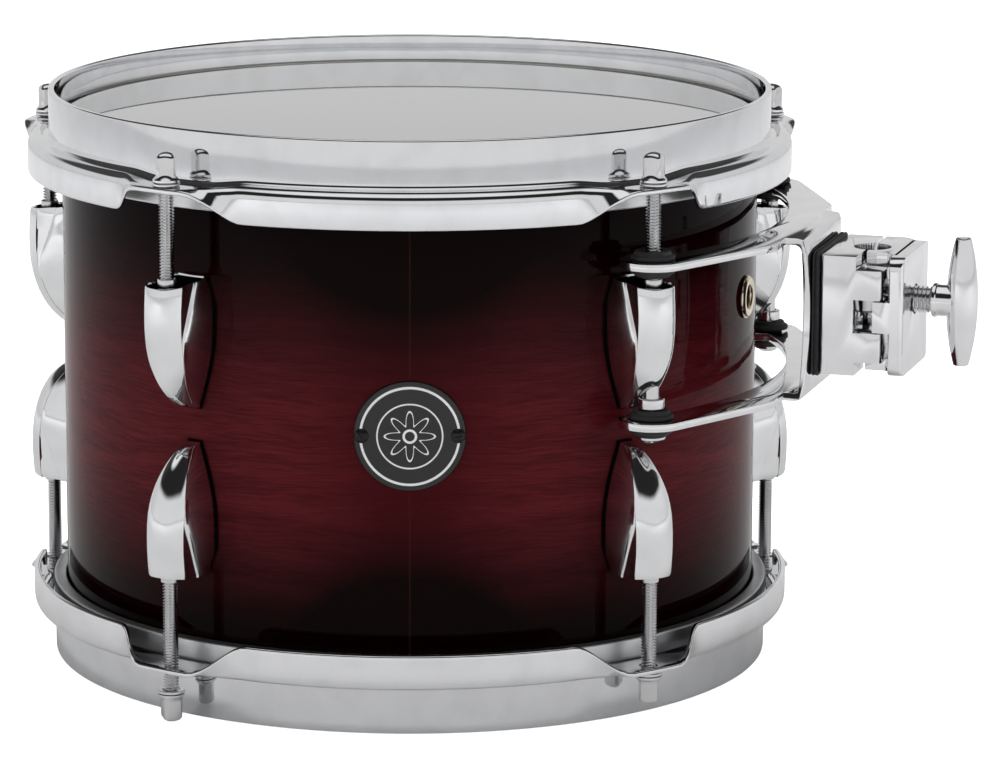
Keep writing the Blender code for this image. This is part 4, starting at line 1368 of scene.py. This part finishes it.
@dataclass
class Bracket:
    """The suspension bracket, a bent plate on rubber grommets, with its collars and screws."""

    drum: Drum
    thickness: float = 0.0026
    lobe: float = 0.0115
    inner_radius: float = 0.1375
    wall_half: float = 0.028
    waist: float = 0.005
    bend: float = 0.0045
    wall_outer: float = 0.1553
    hole: float = 0.0055
    rod_offset: int = 36

    def __post_init__(self) -> None:
        """Reads the plate's levels from the frame."""
        low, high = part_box("bracket_plate")
        self.top = high.z - self.drum.middle
        self.bottom = low.z - self.drum.middle

    def _outline(self) -> list[Pair]:
        """The plate from above, in a frame whose X points at the mount.

        Returns:
            The outline's points.
        """
        spread = math.radians(self.rod_offset)
        centre = Vector((self.drum.rod_circle * math.cos(spread), self.drum.rod_circle * math.sin(spread)))
        corner = Vector((self.wall_outer, self.wall_half))
        away = corner - centre
        start = math.degrees(math.atan2(away.y, away.x) + math.acos(self.lobe / away.length))
        bend = ((self.inner_radius ** 2 - self.drum.rod_circle ** 2 - self.lobe ** 2)
                / (2 * self.drum.rod_circle * self.lobe))
        end = 360 + self.rod_offset - math.degrees(math.acos(bend))
        first = centre + Vector((math.cos(math.radians(start)), math.sin(math.radians(start)))) * self.lobe
        begin = Vector((self.wall_outer, self.wall_half - 0.006))
        side = [tuple(begin)]
        for step in range(1, 12):
            side.append(tuple(curve(begin, corner, first, step / 12)))
        for step in range(37):
            turn = math.radians(start + (end - start) * step / 36)
            side.append((centre.x + self.lobe * math.cos(turn), centre.y + self.lobe * math.sin(turn)))
        limit = math.atan2(side[-1][1], side[-1][0])
        inner = [(self.inner_radius * math.cos(turn), self.inner_radius * math.sin(turn))
                 for turn in (limit * (1 - 2 * step / 40) for step in range(1, 40))]
        return side + inner + [(x, -y) for x, y in reversed(side)]

    def build(self) -> None:
        """Makes the plate, grommets, collars and screws."""
        place = self.drum.facing(self.drum.mount_angle)
        outline = self._outline()
        margin = 0.004
        prism = [[(x, y, height) for x, y in outline]
                 for height in (self.bottom - margin, self.top + margin)]
        plate = Form().loft(prism).piece("bracket_plate_steel", [Palette.BRACKET], place)
        start, bend = 0.09, self.bend
        outer = [Fillet((start, self.bottom)), Fillet((self.wall_outer, self.bottom), bend, 10),
                 Fillet((self.wall_outer, self.top), bend, 10), Fillet((start, self.top))]
        wall = self.wall_outer - self.thickness
        inner = [Fillet((start, self.top - self.thickness)),
                 Fillet((wall, self.top - self.thickness), bend - self.thickness + 0.001, 8),
                 Fillet((wall, self.bottom + self.thickness), bend - self.thickness + 0.001, 8),
                 Fillet((start, self.bottom + self.thickness))]
        channel = rounded(outer, closed=False) + rounded(inner, closed=False)
        sections = [[(x, y, z) for x, z in channel] for y in (-0.12, 0.12)]
        carve(plate, [Form().loft(sections)], "INTERSECT", place)
        opening = (self.top - self.bottom) / 2 - self.thickness
        middle = (self.top + self.bottom) / 2
        radius = (opening ** 2 + self.waist ** 2) / (2 * self.waist)
        tools = []
        for side in (-1, 1):
            centre = Matrix.Translation((0, side * (self.wall_half - self.waist + radius), middle))
            end = self.wall_outer + 0.004
            tools.append(Form().cylinder(radius, wall - 0.0055, end, 160, centre @ LYING))
        carve(plate, tools, place=place)
        for offset in (-self.rod_offset, self.rod_offset):
            axis = self.drum.rod_axis(self.drum.mount_angle + offset)
            carve(plate, [Form().cylinder(self.hole, self.bottom - 0.01, self.top + 0.01, 48)], place=axis)
        round_edges(plate, 0.00045, 2, 50.0)
        fit(plate, "root", "bracket_chrome", "bracket_plate")
        for offset, label in ((-self.rod_offset, "front"), (self.rod_offset, "rear")):
            axis = self.drum.rod_axis(self.drum.mount_angle + offset)
            self._grommet(f"grommet_upper_{label}", axis, self.top)
            self._grommet(f"grommet_lower_{label}", axis, self.bottom + self.thickness)
            self._collar(label, axis)
            self._screw(label, axis)

    def _grommet(self, node: str, axis: Matrix, plate_top: float) -> None:
        """A rubber spool whose groove holds the plate.

        Args:
            node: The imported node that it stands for.
            axis: The rod's frame.
            plate_top: The upper face of the plate it grips.
        """
        low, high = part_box(node)
        top, bottom = high.z - self.drum.middle, low.z - self.drum.middle
        radius = (high.x - low.x) / 2
        neck, bore = 0.0052, 0.0034
        over, under = plate_top + 0.0002, plate_top - self.thickness - 0.0002
        corners = [Fillet((bore, top), 0.0004, 2), Fillet((radius * 0.80, top), 0.0006, 4),
                   Fillet((radius * 0.84, top - 0.0012), 0.0004, 2),
                   Fillet((radius, top - 0.0015), 0.0006, 4), Fillet((radius, over), 0.0004, 3),
                   Fillet((neck, over), 0.0002, 2), Fillet((neck, under), 0.0002, 2),
                   Fillet((radius, under), 0.0004, 3), Fillet((radius, bottom + 0.0012), 0.0006, 4),
                   Fillet((radius * 0.84, bottom + 0.0010), 0.0004, 2),
                   Fillet((radius * 0.80, bottom), 0.0006, 4), Fillet((bore, bottom), 0.0004, 2)]
        spool = Form().revolve(rounded(corners), 56).piece(f"{node}_rubber", [Palette.RUBBER], axis)
        fit(spool, "root", "black_rubber", node)

    def _collar(self, label: str, axis: Matrix) -> None:
        """The turned collar between the lower grommet and the lug.

        Args:
            label: Front or rear.
            axis: The rod's frame.
        """
        node = f"lug_collar_{label}"
        low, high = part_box(node)
        top, bottom = high.z - self.drum.middle, low.z - self.drum.middle
        radius = (high.x - low.x) / 2
        corners = [Fillet((0.0031, top), 0.0001, 2), Fillet((radius, top), 0.0004, 3),
                   Fillet((radius, bottom), 0.0004, 3), Fillet((0.0031, bottom), 0.0001, 2)]
        collar = Form().revolve(rounded(corners), 40).piece(f"{node}_steel", [Palette.ROD], axis)
        fit(collar, "root", "plated_steel", node)

    def _screw(self, label: str, axis: Matrix) -> None:
        """The bracket screw: a socket head under the lower grommet, and its shank.

        Args:
            label: Front or rear.
            axis: The rod's frame.
        """
        node = f"bracket_screw_{label}"
        low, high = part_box(node)
        top, bottom = high.z - self.drum.middle, low.z - self.drum.middle
        radius = (high.x - low.x) / 2 - 0.0001
        seat = bottom + 0.0021
        profile = [(0, top), (0.0022, top - 0.0004), (0.0026, top - 0.001), (0.0026, seat),
                   (radius * 0.99, seat), (radius, seat - 0.0003), (radius * 0.97, seat - 0.0008),
                   (radius * 0.72, seat - 0.0012), (radius * 0.62, bottom + 0.0003),
                   (radius * 0.5, bottom), (0, bottom)]
        screw = Form().revolve(profile, 40, ring=False).piece(f"{node}_steel", [Palette.ROD], axis)
        recess = Form().cylinder(0.0016, bottom - 0.001, bottom + 0.0011, 6)
        carve(screw, [recess], place=axis)
        fit(screw, "root", "plated_steel", node)


@dataclass
class Clamp:
    """The clamp for the L-rod: gasket, base, jaw, eyebolt and wing nut, along X at the mount's angle."""

    drum: Drum
    half: float = 0.022
    bore: float = 0.0066
    gasket_start: float = 0.1556
    gasket_end: float = 0.1581
    gasket_lip: float = 0.0010
    base_start: float = 0.1585
    base_end: float = 0.1805
    bore_x: float = 0.1720
    split: float = 0.1710
    split_gap: float = 0.0012
    ear_height: float = 0.0048
    recess: float = 0.012
    window: float = 0.0059
    window_length: float = 0.0102
    jaw_start: float = 0.1828
    jaw_end: float = 0.1878
    finger: float = 0.0056
    bolt_lift: float = 0.0034
    nut_start: float = 0.1943
    bolt: float = 0.0048
    bolt_pitch: float = 0.0015
    bolt_reach: float = 0.012
    bolt_play: float = 0.0006
    eye_half: float = 0.0044
    eye_wall: float = 0.0025
    eye_room: float = 0.0014
    rod_play: float = 0.0003
    ribs: int = 44
    rib_radius: float = 0.00022
    neck_radius: float = 0.0056
    neck_length: float = 0.0052
    handle: float = 0.0229
    handle_thick: float = 0.0056
    handle_thin: float = 0.0027
    nut_bore: float = 0.0118

    def __post_init__(self) -> None:
        """Reads the clamp's height from the frame and sets what follows from it."""
        low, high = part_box("clamp_base")
        self.tall = (high.z - low.z) / 2
        middle = (low.z + high.z) / 2 - self.drum.middle
        self.place = self.drum.facing(self.drum.mount_angle) @ Matrix.Translation((0, 0, middle))
        self.bolt_place = self.place @ Matrix.Translation((0, 0, self.bolt_lift))
        self.eye = self.bore + self.rod_play + self.eye_wall
        self.pocket = self.eye + self.eye_room

    def build(self) -> None:
        """Makes the clamp's pieces."""
        self._gasket()
        self._base()
        self._jaw()
        self._eyebolt()
        self._wing_nut()

    def _gasket(self) -> None:
        """The moulded gasket, with a shallow groove round its edge."""
        low, high = self.gasket_start, self.gasket_end
        side, tall = self.half + self.gasket_lip, self.tall + self.gasket_lip
        sections = []
        for x, inset in ((low, 0.0006), (low + 0.0003, 0.0), (low + 0.0009, 0.0), (low + 0.0011, 0.0005),
                         (low + 0.0014, 0.0005), (low + 0.0016, 0.0), (high - 0.0003, 0.0), (high, 0.0005)):
            corners = [Fillet((y * (side - inset), z * (tall - inset)), 0.003, 5)
                       for y, z in ((1, 1), (-1, 1), (-1, -1), (1, -1))]
            sections.append([(x, y, z) for y, z in rounded(corners)])
        gasket = Form().loft(sections).piece("clamp_gasket_rubber", [Palette.RUBBER], self.place)
        fit(gasket, "root", "black_rubber", "clamp_gasket")

    def _slab(self, plan: Sequence[Fillet], low: float, high: float) -> Form:
        """A slab of a plan with rounded corners, between two levels.

        Args:
            plan: The plan's corners as (outward, across).
            low: The slab's lower level.
            high: Its upper level.

        Returns:
            The slab's form.
        """
        outline = rounded(plan)
        return Form().loft([[(x, y, level) for x, y in outline] for level in (low, high)])

    def _base(self) -> None:
        """The cast base, with the rod's channel, the jaw's window and the seats of the jaw's ears."""
        half, tall, far = self.half, self.tall, self.base_end + 0.01
        plan = [Fillet((self.base_start, -half), 0.0012), Fillet((self.base_end, -half), 0.0026, 8),
                Fillet((self.base_end, half), 0.0026, 8), Fillet((self.base_start, half), 0.0012)]
        base = self._slab(plan, -tall, tall).piece("clamp_base_casting", [Palette.CLAMP], self.place)
        shift = Matrix.Translation((self.bore_x, 0, 0))
        tools = [Form().cylinder(self.bore, -tall - 0.01, tall + 0.01, 96, shift),
                 Form().block((self.bore_x, -self.bore, -tall - 0.01), (far, self.bore, tall + 0.01)),
                 Form().block((self.base_end - self.window_length, -half - 0.01, -self.window),
                              (far, half + 0.01, self.window)),
                 Form().cylinder(self.pocket, self.bolt_lift - self.eye_half - self.eye_room,
                                 self.bolt_lift + self.eye_half + self.eye_room, 64, shift)]
        for side in (-1, 1):
            low, high = side * tall - self.ear_height, side * tall + self.ear_height
            tools.append(Form().block((self.split, -half - 0.01, low), (far, half + 0.01, high)))
        carve(base, tools, place=self.place)
        round_edges(base, 0.0008, 3)
        carve(base, [self._ribs()], place=self.place)
        fit(base, "root", "clamp_chrome", "clamp_base")

    def _ribs(self) -> Form:
        """Fine upright grooves round the rod's bore, in its upper and lower ends.

        Returns:
            The grooves' form.
        """
        grooves = Form()
        for step in range(self.ribs):
            turn = 2 * math.pi * step / self.ribs
            x, y = self.bore_x + self.bore * math.cos(turn), self.bore * math.sin(turn)
            spot = Matrix.Translation((x, y, 0))
            for side in (-1, 1):
                levels = side * (self.tall - self.ear_height - 0.004), side * (self.tall + 0.001)
                low, high = sorted(levels)
                grooves.cylinder(self.rib_radius, low, high, 6, spot)
        return grooves

    def _jaw(self) -> None:
        """The jaw: a plate with two fingers in the base's window and two ears round the rod."""
        half, tall = self.half, self.tall
        plan = [Fillet((self.jaw_start, -half), 0.0008, 3), Fillet((self.jaw_end, -half), 0.0022, 8),
                Fillet((self.jaw_end, half), 0.0046, 10), Fillet((self.jaw_start, half), 0.0008, 3)]
        jaw = self._slab(plan, -tall, tall).piece("clamp_jaw_casting", [Palette.CLAMP], self.place)
        corners = [Fillet((y * half, z * tall), 0.0052, 8) for y, z in ((1, 1), (-1, 1), (-1, -1), (1, -1))]
        face = rounded(corners)
        start, end = self.jaw_start - 0.01, self.jaw_end + 0.01
        shape = Form().loft([[(x, y, z) for y, z in face] for x in (start, end)])
        carve(jaw, [shape], "INTERSECT", self.place)
        adds = []
        for side in (-1, 1):
            low, high = sorted((side * (self.pocket + 0.0001), side * half))
            adds.append(Form().block((self.jaw_start - self.finger, low, -self.window + 0.0004),
                                     (self.jaw_start + 0.001, high, self.window - 0.0004)))
            levels = sorted((side * tall, side * (tall - self.ear_height + 0.0003)))
            start, near, end = self.split + self.split_gap, self.recess - half, self.jaw_start + 0.001
            plan = [Fillet((start, near)), Fillet((end - 0.0032, near), 0.003, 6),
                    Fillet((end - 0.001, near - 0.004), 0.001), Fillet((end, near - 0.004)),
                    Fillet((end, half - 0.004)), Fillet((end - 0.004, half), 0.002),
                    Fillet((start, half), 0.0008)]
            adds.append(self._slab(plan, *levels))
        carve(jaw, adds, "UNION", self.place)
        shift = Matrix.Translation((self.bore_x, 0, 0))
        carve(jaw, [Form().cylinder(self.bore, -tall - 0.01, tall + 0.01, 96, shift)], place=self.place)
        start, end = self.jaw_start - 0.01, self.jaw_end + 0.01
        hole = Form().cylinder(self.bolt + self.bolt_play, start, end, 48, LYING)
        carve(jaw, [hole], place=self.bolt_place)
        round_edges(jaw, 0.0007, 3)
        carve(jaw, [self._ribs()], place=self.place)
        fit(jaw, "jaw", "clamp_chrome", "clamp_jaw")

    def _eyebolt(self) -> None:
        """The eye that holds the L-rod, and its threaded shank."""
        tall = self.eye_half
        hole = self.bore + self.rod_play
        corners = [Fillet((hole, tall), 0.0006, 3), Fillet((self.eye, tall), 0.0009, 4),
                   Fillet((self.eye, -tall), 0.0009, 4), Fillet((hole, -tall), 0.0006, 3)]
        spot = self.bolt_place @ Matrix.Translation((self.bore_x, 0, 0))
        eye = Form().revolve(rounded(corners), 64).piece("clamp_eyebolt_steel", [Palette.STEEL], spot)
        end = self.jaw_end + self.bolt_reach
        shank = Form().thread(self.bolt, self.bolt_pitch, 0.0008, self.jaw_start + 0.0014, end - 0.0002, 32)
        start = self.bore_x + self.eye - 0.0015
        neck = Form().cylinder(self.bolt - 0.0009, start, self.jaw_start + 0.002, 32)
        carve(eye, [neck, shank], "UNION", self.bolt_place @ LYING)
        fit(eye, "eyebolt", "plated_steel", "clamp_eyebolt")

    def _wing_nut(self) -> None:
        """A smooth spindle across a turned neck that carries the thread."""
        at_nut = self.bolt_place @ Matrix.Translation((self.nut_start, 0, 0))
        neck_radius, neck_length = self.neck_radius, self.neck_length
        handle, thick, thin = self.handle, self.handle_thick, self.handle_thin
        centre = neck_length + thick * 0.9
        sections = []
        steps = 48
        for step in range(steps + 1):
            share = -math.cos(math.pi * step / steps)
            body = thin + (thick - thin) * (1 - abs(share) ** 2.1)
            end = math.sqrt(max(0.0, 1 - max(0.0, (abs(share) - 0.985) / 0.015) ** 2))
            radius = max(0.0001, body * (0.86 + 0.14 * end) if abs(share) < 0.9999 else body * 0.84)
            sections.append([(centre + x, y, handle * share) for x, y, _ in circle(radius, 0, 48)])
        nut = Form().loft(sections).piece("wing_nut_casting", [Palette.CLAMP], at_nut)
        corners = [Fillet((0.0, 0.0)), Fillet((0.0061, 0.0), 0.0004, 3),
                   Fillet((0.0061, 0.0013), 0.0004, 3), Fillet((neck_radius, 0.0017), 0.0005, 3),
                   Fillet((neck_radius, neck_length - 0.0014), 0.0004, 3),
                   Fillet((thick * 0.98, centre - 0.003), 0.001, 3), Fillet((0.0, centre))]
        neck = Form().revolve(rounded(corners, closed=False), 56, ring=False)
        carve(nut, [neck], "UNION", at_nut @ LYING)
        bore = [Form().cylinder(self.bolt + 0.0002, -0.01, self.nut_bore, 48),
                Form().cylinder(0.0056, -0.01, 0.0013, 48)]
        carve(nut, bore, place=at_nut @ LYING)
        fit(nut, "wing_nut", "clamp_chrome", "wing_nut")
        ring = rounded([Fillet((0.00498, 0.0001), 0.0001, 2), Fillet((0.0055, 0.0001), 0.0002, 2),
                        Fillet((0.0055, 0.0011), 0.0002, 2), Fillet((0.00498, 0.0011), 0.0001, 2)])
        washer = Form().revolve(ring, 48).piece("thrust_washer_ring", [Palette.NYLON], at_nut @ LYING)
        fit(washer, "thrust_washer", "nylon", "thrust_washer")


@dataclass(frozen=True)
class SoftBox:
    """One large lamp that is aimed at the drum."""

    name: str
    spot: Point
    size: float
    power: float


SOFT_BOXES = (SoftBox("left_box", (-1.6, -1.2, 0.9), 1.0, 9.5),
              SoftBox("right_box", (1.7, -1.0, 0.8), 0.9, 7.0),
              SoftBox("top_box", (0.0, 0.1, 1.8), 1.2, 14.0))


@dataclass
class Studio:
    """The floor, the soft lights, the surroundings and the camera."""

    drum: Drum
    camera_distance: float = 1.767
    camera_height: float = 0.3658
    pitch: float = 12.47
    lens: float = 177.354
    shift: Pair = (0.0902, 0.0507)
    floor_radius: float = 6.0
    floor_depth: float = 0.02
    far_glow: Colour = (0.26, 0.26, 0.27)

    def build(self, floor_height: float) -> None:
        """Sets the studio up.

        Args:
            floor_height: The height of the surface that the drum stands on.
        """
        self._camera()
        self._floor(floor_height)
        self._surroundings()
        self._lights()
        bpy.context.scene.view_settings.view_transform = "Standard"

    def _camera(self) -> None:
        """A long lens a little above the batter head, square to the badge."""
        data = bpy.data.cameras.new("camera")
        data.lens = self.lens
        data.sensor_width = 36.0
        data.shift_x, data.shift_y = self.shift
        data.clip_start, data.clip_end = 0.05, 50.0
        camera = bpy.data.objects.new("camera", data)
        camera.location = (0.0, -self.camera_distance, self.drum.middle + self.camera_height)
        camera.rotation_euler = (math.radians(90 - self.pitch), 0.0, 0.0)
        bpy.context.scene.collection.objects.link(camera)
        bpy.context.scene.camera = camera

    def _floor(self, height: float) -> None:
        """A plain pale floor.

        Args:
            height: The height of the drum's lowest point.
        """
        floor = Form()
        floor.loft([circle(self.floor_radius, height - drop, 64) for drop in (0.0004, self.floor_depth)])
        finish = bpy.data.materials.new("pale_floor")
        finish.use_nodes = True
        graph = Graph(finish.node_tree)
        cloud = graph.noise(graph.vector(*graph.coordinates()), 3.0)
        x, y, _ = graph.coordinates()
        far = (x * x + y * y).root().fade(0.3, 1.15)
        seen = graph.node("ShaderNodeLightPath", {}, {}, "Is Camera Ray")
        glow = graph.blend(seen, graph.blend(far, (0.0, 0.0, 0.0), self.far_glow), (1.0, 1.0, 1.0))
        inputs = {"Base Color": graph.blend(cloud, (0.93, 0.93, 0.93), (0.96, 0.96, 0.96)),
                  "Roughness": 0.7, "Specular IOR Level": 0.2, "Emission Color": glow,
                  "Emission Strength": 1.0}
        graph.finish_with(graph.node("ShaderNodeBsdfPrincipled", {}, inputs))
        piece = floor.piece("floor", [])
        piece.data.materials.append(finish)
        piece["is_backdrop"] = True

    def _surroundings(self) -> None:
        """White to the eye; in reflections a pale wall, a dark band above it and a soft ceiling."""
        world = bpy.data.worlds.new("studio")
        bpy.context.scene.world = world
        world.use_nodes = True
        graph = Graph(world.node_tree)
        place = graph.node("ShaderNodeTexCoord", {}, {}, "Generated")
        x, y, z = (graph.node("ShaderNodeSeparateXYZ", {}, {0: place}, axis) for axis in range(3))
        back = y.fade(-0.3, 0.5)
        low = z.fade(0.46, 0.32)
        ceiling = z.fade(0.82, 0.92)
        band = 0.02 + back * 0.04
        wall = 0.80 - back * 0.10
        light = (low * wall).most(ceiling * 0.9).most(band)
        below = z.fade(-0.02, -0.10)
        light = light * (1.0 - below) + below * 0.74
        seen = graph.node("ShaderNodeLightPath", {}, {}, "Is Camera Ray")
        strength = seen * 1.05 + (1.0 - seen) * light
        shade = graph.node("ShaderNodeBackground", {},
                           {"Color": (1.0, 1.0, 1.0, 1.0), "Strength": strength})
        graph.finish_with(shade, "ShaderNodeOutputWorld")

    def _lights(self) -> None:
        """Two soft boxes at the sides and one overhead."""
        for box in SOFT_BOXES:
            data = bpy.data.lights.new(box.name, "AREA")
            data.shape = "RECTANGLE"
            data.size, data.size_y = box.size, box.size * 1.2
            data.energy = box.power
            lamp = bpy.data.objects.new(box.name, data)
            lamp.location = box.spot
            lamp.visible_glossy = False
            aim = Vector((0, 0, self.drum.middle)) - Vector(box.spot)
            lamp.rotation_euler = aim.to_track_quat("-Z", "Y").to_euler()
            bpy.context.scene.collection.objects.link(lamp)


def corners(bounds: tuple[Vector, Vector]) -> list[list[float]]:
    """A box as plain lists."""
    return [list(corner) for corner in bounds]


def main() -> None:
    """Builds the drum's looks and the studio, and works out the box before and after."""
    logging.basicConfig(level=logging.INFO, format="%(name)s: %(message)s")
    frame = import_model()
    cad_box = corners(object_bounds())
    drum = Drum.from_frame(frame)
    Shell(drum).build()
    for name, bottom in (("batter", False), ("resonant", True)):
        DrumHead(drum, name, bottom).build()
        Hoop(drum, name, bottom).build()
        for number, angle in enumerate(drum.angles, start=1):
            Lug(drum, angle, bottom, number).build()
            TensionRod(drum, number, bottom).build()
    Bracket(drum).build()
    Clamp(drum).build()
    Studio(drum).build(cad_box[0][2])
    {"cad": cad_box, "visual": corners(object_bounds())}


if __name__ == "__main__":
    main()
